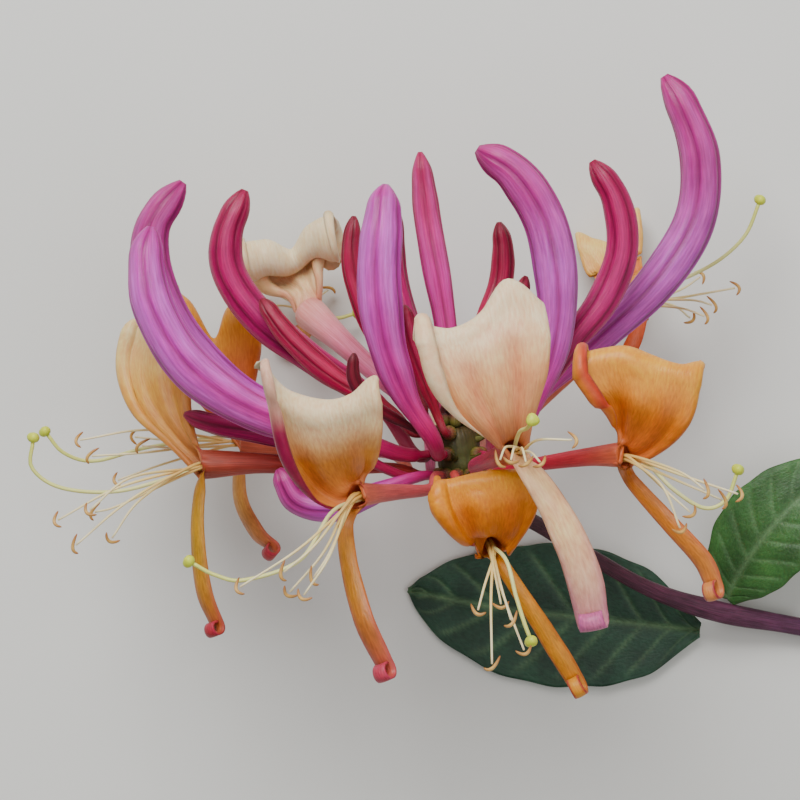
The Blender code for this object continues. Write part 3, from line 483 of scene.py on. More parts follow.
# Leaves: the least half width, where the tip rounds off, the side veins and the midrib, the puffed blade
# between them, its waves, and its margin, in mm or as shares.
LEAF_LEAST = 0.12
LEAF_RIM = 0.02
LEAF_END = (-0.02, 0.05)
LEAF_VEINS = 9
VEIN_SWEEP = 1.5
VEIN_WIDTH = 0.09
VEIN_STRETCH = (0.04, 0.12, 0.75, 0.98)
RIB_WIDTH = 0.45
RIB_DEPTH = 0.15
PUFF = 0.22
PUFF_STRETCH = (0.02, 0.3, 0.8, 1.0)
LEAF_WAVE = 0.30
LEAF_WAVES = (5, 1.5)
MARGIN_WAVE = 0.015
MARGIN_WAVES = 40
LEAF_MOTTLE = (4, 2, 3.1)
VEIN_TINT = (0.45, 0.75)
VEIN_TINT_UNDER = (0.5, 0.6)
LEAF_GRAIN = (3, 8)
LEAF_LOOK_THICKNESS = 0.35

# Where a point lies in the grain that the streaks follow. For a lip: its width there, its place beside the
# tube, and its length on from the mouth.
GRAIN_ALONG = 0.03
BUD_GRAIN = 1.3
THREAD_GRAIN = 0.6
STEM_GRAIN = 1.6
TUBE_GRAIN = 1.2
MOUTH_GRAIN = 1.4
LIP_GRAIN = (3.2, 4.0, 1.8)
STRAP_GRAIN = (0.9, 8.0, 2.4)

# How fine the streaks, the blotches and the relief are, how detailed, and how the first two are stretched.
STREAK_SCALE = 7
STREAK_DETAIL = 3
BLOTCH_SCALE = 260
BLOTCH_DETAIL = 4
FINE_SCALE = 2600
FINE_DETAIL = 2
FINE_RELIEF = 0.3
NOISE_RANGE = (0.3, 0.7)
SKIN_SHADER = {"Metallic": 0, "Sheen Roughness": 0.4, "Specular IOR Level": 0.35, "Subsurface Weight": 0.12,
               "Subsurface Scale": 1.2 * MM}

# The table, the lights (place in metres, size, power in watts) and the camera.
FLOOR_HALF = 1.5
FLOOR_ROUGHNESS = 0.7
LIGHTS = {"window": ((-0.12, 0.42, 0.50), 0.40, 5.8), "overhead": ((0.25, -0.10, 0.60), 0.6, 1.6)}
ROOM_LIGHT = 0.25
SENSOR_WIDTH = 36
CAMERA_NEAR = 10 * MM


def at(point):
    """A point of the drawing sheet as a place in the sprig's own frame, in metres."""
    x, y, rise = point
    depth = rise * MM
    reach = (EYE_HEIGHT - depth) / EYE_HEIGHT * SQUARE
    middle = SHEET_SQUARES / 2
    shift = ((middle - SHEET_ORIGIN[0]) * SQUARE, (SHEET_ORIGIN[1] - middle) * SQUARE)
    return Vector(((x - middle) * reach + shift[0], (middle - y) * reach + shift[1], AXIS_HEIGHT + depth))


def along(values, share):
    """The smooth value at a share of the way through evenly spaced values, numbers or vectors."""
    last = len(values) - 1
    place = min(max(share, 0.0), 1.0) * last
    k = min(int(place), last - 1)
    t = place - k
    b, c = values[k], values[k + 1]
    a = values[k - 1] if k > 0 else b + (b - c)
    d = values[k + 2] if k + 2 <= last else c + (c - b)
    straight, bend, twist = c - a, 2 * a - 5 * b + 4 * c - d, 3 * b - 3 * c + d - a
    return 0.5 * (2 * b + straight * t + bend * t * t + twist * t ** 3)


def heading(line, share, step):
    """The direction of a smooth line at a share of the way along it."""
    ahead = min(1.0, share + step)
    return (along(line, ahead) - along(line, ahead - 2 * step)).normalized()


def between(pairs, share):
    """A value read from (share, value) pairs, eased between them."""
    for (s0, v0), (s1, v1) in zip(pairs, pairs[1:]):
        if share <= s1:
            t = max(0.0, (share - s0) / (s1 - s0))
            return v0 + (v1 - v0) * t * t * (3 - 2 * t)
    return pairs[-1][1]


def smooth(low, high, value):
    """0 below low, 1 above high, eased between them."""
    t = min(max((value - low) / (high - low), 0.0), 1.0)
    return t * t * (3 - 2 * t)


def within(stretch, value):
    """0 outside a stretch and 1 inside it. The stretch gives where it begins, is full, fades and ends."""
    begins, full, fades, ends = stretch
    return smooth(begins, full, value) * (1 - smooth(fades, ends, value))


def rounded(share, end, power=2):
    """The width of a rounded body a share of the way along it: 1 in the middle, and end at either end."""
    return end + (1 - end) * math.sqrt(max(0.0, 1 - (2 * share - 1) ** power))


def curl(onward, inward, angle):
    """How far a roll of radius 1 has gone when it has turned by this angle."""
    return onward * math.sin(angle) + inward * (1 - math.cos(angle))


def swelling(kind, out, share, run=Vector((0, 0, 1))):
    """A small uneven swelling at this place around and along a piece."""
    height, around, lengthwise = kind
    return height * noise.noise(out * around + run * (share * lengthwise))


def tangents(path):
    """The unit direction at each point of a path."""
    last = len(path) - 1
    return [(path[min(k + 1, last)] - path[max(k - 1, 0)]).normalized() for k in range(last + 1)]


def carried(directions, side):
    """A side vector carried along the directions without twisting."""
    sides = []
    for direction in directions:
        side = (side - direction * side.dot(direction)).normalized()
        sides.append(side.copy())
    return sides


def root_of(place):
    """Where an organ leaves the receptacle: its foot, and the direction it starts in."""
    turn, level = place
    bottom, top = at(RECEPTACLE_BOTTOM), at(RECEPTACLE_TOP)
    rise = (top - bottom).normalized()
    angle = math.radians(turn)
    outward = Vector((math.sin(angle), 0, math.cos(angle)))
    if level >= len(WHORL_LEVELS):
        return top + (rise * CORE_LIFT + outward * CORE_SPREAD) * MM, rise
    centre = bottom.lerp(top, WHORL_LEVELS[level])
    return centre + outward * (RECEPTACLE_RADIUS + ROOT_GAP) * MM, outward


def spine(place, points, count):
    """A smooth path from the receptacle through the sheet points."""
    foot, way = root_of(place)
    ends = [at(p) for p in points]
    stub = foot + way * STUB_SHARE * (ends[0] - foot).length
    return smooth_line([foot, stub, *ends], FINE_STEPS, count)


def smooth_line(knots, steps, count):
    """A smooth line through some points, worked out in steps, as evenly spaced points."""
    path = [along(knots, k / steps) for k in range(steps + 1)]
    run = [0.0]
    for a, b in zip(path, path[1:]):
        run.append(run[-1] + (b - a).length)
    found, k = [], 0
    for n in range(count):
        want = run[-1] * n / (count - 1)
        while k < len(path) - 2 and run[k + 1] < want:
            k += 1
        step = run[k + 1] - run[k]
        found.append(path[k].lerp(path[k + 1], (want - run[k]) / step if step else 0.0))
    return found


def throat_of(flower):
    """The place in front of the mouth, clear of the upper lip, that stamens come from, and the way out."""
    ends = [at(p) for p in flower["tube"]]
    way = (ends[-1] - ends[-2]).normalized()
    rise = at(flower["lip"][0]) - ends[-1]
    rise = (rise - way * rise.dot(way)).normalized()
    return ends[-1] + (way * THROAT_STEP - rise * THROAT_DROP) * MM, way


def tone(red, green, blue):
    """A colour as the eye names it, in percent, as the linear colour that a material takes."""
    shares = [c / 100 for c in (red, green, blue)]
    return Vector([c / 12.92 if c <= 0.04045 else ((c + 0.055) / 1.055) ** 2.4 for c in shares])


def tones(*colours):
    """Several colours at once."""
    return [tone(*colour) for colour in colours]


def mixed(colours, share):
    """A colour part of the way along a list of evenly spaced colours."""
    place = min(max(share, 0.0), 1.0) * (len(colours) - 1)
    k = min(int(place), len(colours) - 2)
    return colours[k].lerp(colours[k + 1], place - k)


def graded(colours):
    """The tint of a tube that runs through these colours along it."""
    return lambda share, angle, out: mixed(colours, share)


# Bud colours from foot to tip, the painted shade of the seams' grooves and the painted highlight of the
# ridges.
LILAC = (tones((62, 2, 22), (74, 4, 40), (74, 12, 54), (72, 18, 62), (74, 24, 68), (70, 14, 54)),
         *tones((54, 0, 38), (88, 52, 90)))
ORCHID = (tones((62, 2, 24), (76, 10, 50), (70, 22, 64), (68, 26, 66), (66, 14, 50), (64, 8, 42)),
          *tones((48, 0, 32), (84, 42, 74)))
MAGENTA = (tones((54, 0, 16), (62, 0, 26), (65, 0, 33), (66, 0, 37), (63, 0, 32), (56, 0, 22)),
           *tones((40, 0, 18), (78, 12, 48)))
CRIMSON = (tones((44, 0, 10), (56, 0, 14), (60, 0, 18), (62, 2, 24), (58, 2, 22), (50, 2, 16)),
           *tones((36, 0, 10), (76, 12, 36)))
MAROON = (tones((28, 10, 8), (34, 3, 9), (40, 3, 12), (42, 4, 14), (36, 3, 10)),
          *tones((24, 2, 6), (52, 10, 20)))
ROSE = (tones((54, 0, 20), (70, 0, 36), (76, 6, 50), (78, 10, 54), (70, 2, 38), (60, 0, 26)),
        *tones((52, 0, 26), (90, 42, 74)))
BUD_COLOURS = {
    "bud_" + name: palette
    for palette, names in (
        (LILAC, "far_left_front centre_left"),
        (ORCHID, "far_left_rear right_lilac far_right low_left"),
        (MAGENTA, "left_low left_magenta right_magenta rear_left rear_right"),
        (CRIMSON, "left_crimson slim_rear centre_crimson red_rear pink_small core_front"),
        (MAROON, "maroon_small core_left core_right core_rear core_low"),
        (ROSE, "centre_magenta"),
    )
    for name in names.split()
}
TUBE_FOOT = tone(50, 20, 18)


def flower_colours(*given, streak=None, barrel=None):
    """The colours of a flower's lip inside and out, of its tube, and of its strap with the roll at its end.

    They are worked out from the throat, the lip's middle and rim, the tube, the outside, the strap and the
    strap's tip, in that order. The streak is the lip's middle, and the barrel of the roll the strap's tip,
    where they aren't given.
    """
    throat, middle, rim, tube, outside, strap, strap_tip = tones(*given)
    barrel = tone(*barrel) if barrel else strap_tip
    return {
        "lip": [throat, throat.lerp(middle, 0.55), middle, middle.lerp(rim, 0.55), rim],
        "streak": tone(*streak) if streak else middle,
        "tube": [tube.lerp(TUBE_FOOT, 0.4), tube, tube, tube.lerp(throat, 0.25), tube.lerp(throat, 0.9)],
        "outside": [throat, outside, outside, outside.lerp(rim, 0.6)],
        "strap": [throat.lerp(strap, 0.6), strap, strap, strap.lerp(barrel, 0.3), strap.lerp(barrel, 0.8)],
        "strap_outside": [outside.lerp(strap, 0.4), strap, strap.lerp(barrel, 0.7), barrel],
        "strap_edge": strap_tip,
    }


CREAM = (92, 84, 68)
APRICOT = (86, 58, 24)
SALMON = (76, 36, 26)
PINK = (70, 8, 30)
FLOWER_COLOURS = {
    "left": flower_colours((62, 26, 16), (87, 62, 26), (93, 84, 60), (66, 20, 18), (72, 26, 22),
                           (66, 48, 4), (62, 6, 20)),
    "left_rear": flower_colours(SALMON, (86, 54, 6), (91, 66, 16), SALMON, (80, 40, 14), (80, 56, 26),
                                (64, 12, 22)),
    "front_left": flower_colours((78, 38, 24), (82, 52, 18), CREAM, (80, 32, 34), PINK, (66, 42, 4),
                                 (70, 18, 30), streak=(68, 34, 10)),
    "front_centre": flower_colours((76, 36, 22), (88, 64, 42), (93, 85, 70), PINK, (84, 50, 46),
                                   (86, 70, 50), (72, 34, 54), streak=(78, 42, 28)),
    "right": flower_colours((74, 36, 20), (76, 40, 2), (88, 62, 18), (74, 12, 24), (82, 44, 10),
                            (72, 42, 10), (62, 6, 22), streak=(70, 32, 8), barrel=(84, 54, 28)),
    "front_low": flower_colours((74, 36, 4), (80, 44, 0), (88, 58, 10), (76, 26, 24), (84, 44, 8),
                                (74, 48, 4), (66, 10, 16), streak=(74, 34, 2), barrel=(86, 56, 12)),
    "right_rear": flower_colours(SALMON, APRICOT, (92, 78, 44), SALMON, (82, 44, 22), (78, 34, 16),
                                 (70, 16, 12)),
    "upper_left_rear": flower_colours((90, 62, 56), (91, 76, 54), CREAM, (80, 32, 52), (91, 78, 58),
                                      APRICOT, PINK),
    "rear": flower_colours(SALMON, APRICOT, CREAM, PINK, (78, 30, 34), APRICOT, PINK),
}
# The colour of the outside where a left margin rolls forward, from which column of the margin on, and
# between which shares of the lip.
MARGIN_TINTS = {
    "front_left": (tone(56, 0, 24), 1, 0.1, 0.88),
    "right": (tone(74, 24, 14), 5, 0.7, 1.4),
    "front_centre": (tone(92, 78, 62), 1, 0.3, 1.4),
}
FILAMENT_COLOURS = tones((88, 66, 30), (92, 82, 54), (94, 88, 70))
ANTHER_COLOURS = tones((60, 36, 16), (82, 66, 36), (66, 44, 22))
STYLE_COLOURS = tones((88, 84, 60), (86, 86, 56), (80, 82, 40))
STIGMA_COLOUR = tone(78, 82, 24)
CORE_COLOURS = tones((22, 22, 8), (26, 27, 10), (24, 18, 8))
OVARY_COLOURS = tones((24, 25, 8), (36, 34, 12), (40, 14, 12))
BRACT_COLOUR = tone(30, 30, 10)
STEM_COLOURS = tones((36, 26, 16), (30, 14, 18), (28, 12, 18), (34, 16, 26), (38, 20, 34))
LEAF_COLOURS = {
    "leaf_left": tones((9, 21, 15), (15, 29, 20)),
    "leaf_right": tones((16, 31, 14), (23, 40, 18)),
}
LEAF_VEIN_COLOUR = tone(36, 48, 32)
LEAF_UNDERSIDE_COLOUR = tone(42, 50, 38)
FLOOR_COLOUR = tone(86, 86, 84)


def placed(name, data):
    """An object in the scene that holds this mesh, light or camera."""
    made = bpy.data.objects.new(name, data)
    bpy.context.scene.collection.objects.link(made)
    return made


class Surface:
    """Points, faces, and what the materials read at each point: its tints and its place in the grain."""

    def __init__(self):
        self.points, self.faces, self.tints, self.grains, self.outsides = [], [], [], [], []

    def add(self, point, tint, grain, outside=None):
        """Adds a point and gives its number."""
        self.points.append(point)
        self.tints.append(tint)
        self.grains.append(grain)
        self.outsides.append(outside or tint)
        return len(self.points) - 1

    def join(self, rows, closed=False):
        """Faces from row to row. Where a row repeats a point, the face is a triangle."""
        for low, high in zip(rows, rows[1:]):
            for j in range(len(low) if closed else len(low) - 1):
                n = (j + 1) % len(low)
                face = (low[j], low[n], high[n], high[j])
                self.faces.append(face if low[j] != low[n] else face[1:])

    def turn_over(self):
        """Turns every face round."""
        self.faces = [tuple(reversed(face)) for face in self.faces]

    def piece(self, node, slot, *materials):
        """Makes the object that shows a node, and tells the frame so."""
        mesh = bpy.data.meshes.new(node + "_look")
        mesh.from_pydata([tuple(p) for p in self.points], [], self.faces)
        for layer, values in (("tint", self.tints), ("outside", self.outsides)):
            flat = [c for value in values for c in (*value, 1.0)]
            mesh.attributes.new(layer, "FLOAT_COLOR", "POINT").data.foreach_set("color", flat)
        flat = [c for value in self.grains for c in value]
        mesh.attributes.new("grain", "FLOAT_VECTOR", "POINT").data.foreach_set("vector", flat)
        for material in materials:
            mesh.materials.append(material)
        mesh.shade_smooth()
        made = placed(mesh.name, mesh)
        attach(made, "root")
        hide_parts(node)
        return made


def thicken(made, thickness, offset):
    """Gives a blade its thickness, and its second material on the new side and along the rim."""
    flesh = made.modifiers.new("flesh", "SOLIDIFY")
    flesh.thickness = thickness * MM
    flesh.offset = offset
    flesh.material_offset = 1
    flesh.material_offset_rim = 1


def add_tube(surface, path, sides, radius_of, tint_of, grain_scale=1.0):
    """A closed tube. radius_of and tint_of take the share along, the angle around and the way out."""
    directions = tangents(path)
    normals = carried(directions, FIRST_SIDE)
    rings, run = [], 0.0
    last = len(path) - 1
    for k, (point, direction, normal) in enumerate(zip(path, directions, normals)):
        other = direction.cross(normal)
        run += (point - path[k - 1]).length / MM if k else 0.0
        ring = []
        for j in range(sides):
            angle = math.tau * j / sides
            out = normal * math.cos(angle) + other * math.sin(angle)
            grain = Vector((math.cos(angle), math.sin(angle), run * GRAIN_ALONG)) * grain_scale
            spot = point + out * radius_of(k / last, angle, out)
            ring.append(surface.add(spot, tint_of(k / last, angle, out), grain))
        rings.append(ring)
    surface.join(rings, closed=True)
    surface.faces += [tuple(reversed(rings[0])), tuple(rings[-1])]


def attribute(tree, name):
    """A node that reads an attribute of the mesh."""
    made = tree.nodes.new("ShaderNodeAttribute")
    made.attribute_name = name
    return made


def noise_texture(tree, place, scale, detail):
    """A noise texture's value at a place."""
    made = tree.nodes.new("ShaderNodeTexNoise")
    made.inputs["Scale"].default_value = scale
    made.inputs["Detail"].default_value = detail
    tree.links.new(place, made.inputs["Vector"])
    return made.outputs["Fac"]


def overlaid(tree, colour, value, weight):
    """A colour with a noise value laid over it."""
    stretch = tree.nodes.new("ShaderNodeMapRange")
    stretch.inputs["From Min"].default_value, stretch.inputs["From Max"].default_value = NOISE_RANGE
    tree.links.new(value, stretch.inputs["Value"])
    mix = tree.nodes.new("ShaderNodeMix")
    mix.data_type = "RGBA"
    mix.blend_type = "OVERLAY"
    mix.inputs["Factor"].default_value = weight
    tree.links.new(colour, mix.inputs["A"])
    tree.links.new(stretch.outputs["Result"], mix.inputs["B"])
    return mix.outputs["Result"]


def plant_material(name, layer, roughness, streak, mottle, bump, bloom=0.0):
    """Plant skin: the tint of each point, streaked along its grain, mottled, and finely ridged."""
    made = bpy.data.materials.new(name)
    made.use_nodes = True
    tree = made.node_tree
    shader = tree.nodes["Principled BSDF"]
    place = tree.nodes.new("ShaderNodeTexCoord").outputs["Object"]
    streaks = noise_texture(tree, attribute(tree, "grain").outputs["Vector"], STREAK_SCALE, STREAK_DETAIL)
    blotches = noise_texture(tree, place, BLOTCH_SCALE, BLOTCH_DETAIL)
    colour = overlaid(tree, attribute(tree, layer).outputs["Color"], streaks, streak)
    colour = overlaid(tree, colour, blotches, mottle)
    tree.links.new(colour, shader.inputs["Base Color"])
    relief = tree.nodes.new("ShaderNodeMath")
    relief.operation = "MULTIPLY_ADD"
    relief.inputs[1].default_value = FINE_RELIEF
    tree.links.new(noise_texture(tree, place, FINE_SCALE, FINE_DETAIL), relief.inputs[0])
    tree.links.new(streaks, relief.inputs[2])
    ridges = tree.nodes.new("ShaderNodeBump")
    ridges.inputs["Strength"].default_value = 1
    ridges.inputs["Distance"].default_value = bump * MM
    tree.links.new(relief.outputs["Value"], ridges.inputs["Height"])
    tree.links.new(ridges.outputs["Normal"], shader.inputs["Normal"])
    for socket, value in {**SKIN_SHADER, "Roughness": roughness, "Sheen Weight": bloom}.items():
        shader.inputs[socket].default_value = value
    return made


def bud_skin():
    return plant_material("bud_skin", "tint", roughness=0.42, streak=0.24, mottle=0.12, bump=0.08, bloom=0.06)


def petal_outside():
    return plant_material("petal_outside", "outside", roughness=0.45, streak=0.24, mottle=0.15, bump=0.07,
                          bloom=0.05)


def petal_inside():
    return plant_material("petal_inside", "tint", roughness=0.42, streak=0.22, mottle=0.16, bump=0.07)


def filament_skin():
    return plant_material("filament_skin", "tint", roughness=0.40, streak=0.15, mottle=0.10, bump=0.03)


def style_skin():
    return plant_material("style_skin", "tint", roughness=0.35, streak=0.15, mottle=0.15, bump=0.03)


def receptacle_skin():
    return plant_material("receptacle_skin", "tint", roughness=0.55, streak=0.35, mottle=0.40, bump=0.12)


def stem_bark():
    return plant_material("stem_bark", "tint", roughness=0.50, streak=0.55, mottle=0.35, bump=0.16)


def leaf_top():
    return plant_material("leaf_top", "tint", roughness=0.48, streak=0.20, mottle=0.35, bump=0.10)


def leaf_underside():
    return plant_material("leaf_underside", "outside", roughness=0.60, streak=0.20, mottle=0.30, bump=0.08)


def look_bud(name, skin):
    """A bud: a slim tube that swells to a club with five seams and a blunt tip of two lobes."""
    place, points, fullest = BUDS[name]
    colours, seam_shade_colour, ridge_highlight = BUD_COLOURS[name]

    def petal(angle, share):
        """The place across a petal, from one seam at 0 to the next at 1."""
        return (angle / math.tau * BUD_SEAMS + SEAM_TWIST * share) % 1.0

    def seam(angle, share):
        off = min(petal(angle, share), 1 - petal(angle, share))
        return math.exp(-(off / SEAM_WIDTH) ** 2)

    def ridge(angle, share):
        return math.exp(-((petal(angle, share) - 0.5) / RIDGE_WIDTH) ** 2)

    def radius(share, angle, out):
        size = between(BUD_OUTLINE, share) if share > BUD_ROOT else ROOT_RADIUS / fullest
        dome = math.sqrt(max(0.0, 1 - (max(0.0, share - BUD_DOME) / (BUD_TIP - BUD_DOME)) ** 2))
        notch = 1 - TIP_NOTCH * smooth(TIP_BEGINS, 1.0, share) * abs(math.cos(angle)) ** 6
        groove = 1 - SEAM_DEPTH * seam(angle, share) * smooth(*SEAM_GROWS, share)
        return fullest * MM * size * dome * notch * groove * (1 + swelling(BUD_SWELL, out, share))

    def tint(share, angle, out):
        base = mixed(colours, share)
        # A painted highlight along the ridges between the seams, fading near the tip, and painted shade in
        # the seams' grooves.
        highlight_grown = smooth(*RIDGE_GROWS, share) * (1 - TIP_DULLS * smooth(TIP_BEGINS, 1.0, share))
        base = base.lerp(ridge_highlight, RIDGE_HIGHLIGHT * ridge(angle, share) * highlight_grown)
        return base.lerp(seam_shade_colour, SEAM_SHADE * seam(angle, share) * smooth(*SEAM_GROWS, share))

    surface = Surface()
    sides = BUD_SIDES if fullest > THIN_BUD else THIN_BUD_SIDES
    add_tube(surface, spine(place, points, BUD_ROWS), sides, radius, tint, BUD_GRAIN)
    surface.piece(name, "bud_pink", skin)


class Mouth:
    """The end of a flower's tube: its middle, the way out, and the directions to the upper lip, to that
    lip's right and to the side it rolls to. The hand says which way round its ring of points runs."""

    def __init__(self, flower, path):
        self.middle = path[-1]
        self.way = (at(flower["tube"][-1]) - at(flower["tube"][-2])).normalized()
        self.rise = self.square_to_way(at(flower["lip"][0]) - self.middle)
        self.back = Vector((flower["back"][0], -flower["back"][1], flower["back"][2])).normalized()
        over = self.rise.cross(self.back)
        if over.x < 0:
            over = -over
        self.side = (over - self.way * over.dot(self.way) - self.rise * over.dot(self.rise)).normalized()
        self.hand = 1 if self.way.cross(self.rise).dot(self.side) > 0 else -1
        self.radius = flower["mouth_radius"]

    def square_to_way(self, toward):
        """The part of a direction that is square to the way out."""
        return (toward - self.way * toward.dot(self.way)).normalized()

    def lip_start(self, toward):
        """Where the middle line of a lip starts, a little inside the tube."""
        return self.middle + toward * self.radius * MOUTH_INSET * MM - self.way * MOUTH_OVERLAP * MM

    def ring_point(self, angle, onward):
        """A point of the mouth's ring, carried on along the way out."""
        around = self.rise * math.cos(angle) + self.side * math.sin(angle)
        return self.middle + (around * self.radius * THROAT_FLARE + self.way * onward) * MM


def ring_angle(column):
    """The angle of a column of the mouth's ring, from its top."""
    return math.tau * column / RING - math.pi


def lip_grain(kind, across, share, rolled):
    """A lip point's place in the grain."""
    width, beside, length = kind
    return Vector((across * width, beside, MOUTH_GRAIN + share * length + rolled))


def lip_point(flower, mouth, u, row, pinch):
    """A point of the upper lip, u across from -1 to 1, row counted from the mouth."""
    share = min(1.0, row / LIP_ROWS)
    seed = flower["root"][0]
    knots = [mouth.lip_start(mouth.rise), *(at(p) for p in flower["lip"])]
    halves = [mouth.radius * MOUTH_INSET, *(flower["left"] if u < 0 else flower["right"])]
    direction = heading(knots, share, LIP_STEP)
    behind = (mouth.back - direction * mouth.back.dot(direction)).normalized()
    over = direction.cross(behind).normalized()
    if over.dot(mouth.side) < 0:
        over = -over
    lift = along(flower["crest"], (u + 1) / 2) * share ** 3
    forward = along(flower["forward"], (u + 1) / 2) * share ** 2
    pleat = PLEAT_DEPTH * math.cos(u * PLEAT_TURNS + seed)
    pleat *= math.sin(math.pi * min(1.0, share * PLEAT_SPEED))
    wrap = flower["wrap"][0 if u < 0 else 1] * between(WRAP_ACROSS, abs(u)) * between(WRAP_ALONG, share)
    waver = LIP_WAVER * noise.noise(Vector((u * WAVER_ACROSS, share * WAVER_ALONG, seed))) * share
    spread = along(halves, share) * u - math.copysign(wrap, u)
    sunk = flower["cup"] * u * u * share + pleat + waver - forward - WRAP_FORWARD * wrap
    point = along(knots, share) + (over * spread + behind * sunk + direction * lift) * MM
    if row > LIP_ROWS:
        turned = (row - LIP_ROWS) / LIP_ROLL_ROWS
        flare = 1 + CORNER_FLARE * smooth(CORNER_BEGINS, 1.0, abs(u))
        flare -= RIM_WAVE * math.sin(u * RIM_WAVES + seed)
        flare -= pinch * math.exp(-(u / PINCH_WIDTH) ** 2)
        radius = flower["roll"][0] * (1 - LIP_TIGHTENS * turned) * flare * MM
        point += curl(direction, behind, math.radians(flower["roll"][1]) * turned) * radius
    return point


def strap_line(flower, mouth):
    """The middle line of the lower lip, with the direction of its width, the way it runs and curls."""
    line = [at(p) for p in flower["strap"]]
    start = mouth.lip_start(mouth.square_to_way(line[0] - mouth.middle))
    centres = smooth_line([start, *line], LINE_STEPS, STRAP_ROWS + 1)
    ways = tangents(centres)
    first, last = (Vector((s[0], -s[1], s[2])) for s in flower["strap_side"])
    sides = [first.lerp(last, k / STRAP_ROWS) for k in range(STRAP_ROWS + 1)]
    sides = [(s - w * s.dot(w)).normalized() for s, w in zip(sides, ways)]
    inward = sides[-1].cross(ways[-1]).normalized()
    if inward.z < 0:
        inward = -inward
    if sides[0].dot(mouth.side) < 0:
        sides = [-s for s in sides]
    return centres, ways, sides, inward


def strap_point(flower, strap, q, row):
    """A point of the lower lip, q across from -1 to 1, row counted from the mouth."""
    centres, ways, sides, inward = strap
    k = min(row, STRAP_ROWS)
    share = k / STRAP_ROWS
    turned = max(0.0, (row - STRAP_ROWS) / STRAP_ROLL_ROWS)
    half = flower["strap_width"] * (STRAP_NARROW + (1 - STRAP_NARROW) * min(1.0, share * STRAP_WIDENS))
    uneven = noise.noise(Vector((q, share * STRAP_UNEVEN_ALONG, flower["root"][0])))
    half *= 1 + STRAP_UNEVEN * uneven
    half *= 1 - STRAP_NARROWS * smooth(STRAP_NARROWS_FROM, 1.0, share) - STRAP_ROLL_NARROWS * turned
    hollow = sides[k].cross(ways[k])
    hollow = hollow if hollow.dot(inward) > 0 else -hollow
    point = centres[k] + (sides[k] * half * q + hollow * half * STRAP_HOLLOW * q * q) * MM
    if row > STRAP_ROWS:
        radius = flower["strap_roll"][0] * (1 - STRAP_TIGHTENS * turned) * MM
        point += curl(ways[-1], inward, math.radians(flower["strap_roll"][1]) * turned) * radius
    return point


def with_margins(surface, line, before, name, share, rolled, back):
    """A row of the upper lip, carried on at both sides into a margin that rolls."""
    done = list(line)
    margin = MARGIN_TINTS.get(name)
    for left, size in zip((True, False), SIDE_ROLLS.get(name, (0, 0))):
        edge, inner = (line[0], line[2]) if left else (line[-1], line[-3])
        start = surface.points[edge]
        outward = (start - surface.points[inner]).normalized()
        onward = start - surface.points[before[MARGIN_COLUMNS if left else -1 - MARGIN_COLUMNS]]
        behind = outward.cross(onward).normalized()
        behind = behind if behind.dot(back) > 0 else -behind
        behind = behind if size > 0 else -behind
        radius = (MARGIN_BEAD + abs(size) * smooth(*MARGIN_GROWS, share) * (1 - MARGIN_ENDS * rolled)) * MM
        for m in range(1, MARGIN_COLUMNS + 1):
            turned = curl(outward, behind, MARGIN_TURN * m / MARGIN_COLUMNS)
            spot = start + turned * radius * (1 - MARGIN_TIGHTENS * m / MARGIN_COLUMNS)
            grain = surface.grains[edge] + Vector((MARGIN_GRAIN * m, 0, 0))
            shade = surface.outsides[edge]
            if left and margin:
                colour, column, begins, ends = margin
                stretch = (begins - MARGIN_TINT_EASE, begins, ends - MARGIN_TINT_EASE, ends)
                shade = shade.lerp(colour, within(stretch, share) * smooth(column - 2, column + 1, m))
            made = surface.add(spot, surface.tints[edge], grain, shade)
            done.insert(0 if left else len(done), made)
    return done


def add_corolla_tube(surface, name, path, mouth):
    """The tube of a flower. It gives the ring of points at its mouth."""
    colours = FLOWER_COLOURS[name]
    directions = tangents(path)[:-1] + [mouth.way]
    rises = carried(directions[::-1], mouth.rise)[::-1]
    rows = []
    for k, (point, direction, up) in enumerate(zip(path, directions, rises)):
        share = k / (TUBE_ROWS - 1)
        across = direction.cross(up) * mouth.hand
        radius = (ROOT_RADIUS + (mouth.radius - ROOT_RADIUS) * share ** TUBE_GROWTH) * MM
        radius *= 1 + (THROAT_FLARE - 1) * smooth(THROAT_BEGINS, 1.0, share)
        row = []
        for j in range(RING):
            angle = ring_angle(j)
            rib = 1 + TUBE_RIB * math.cos(TUBE_RIBS * angle) * share
            spot = point + (up * math.cos(angle) + across * math.sin(angle)) * radius * rib
            grain = Vector((math.cos(angle) * TUBE_GRAIN, math.sin(angle) * TUBE_GRAIN, share * MOUTH_GRAIN))
            row.append(surface.add(spot, colours["lip"][0], grain, mixed(colours["tube"], share)))
        rows.append(row)
    surface.join(rows, closed=True)
    return rows[-1]


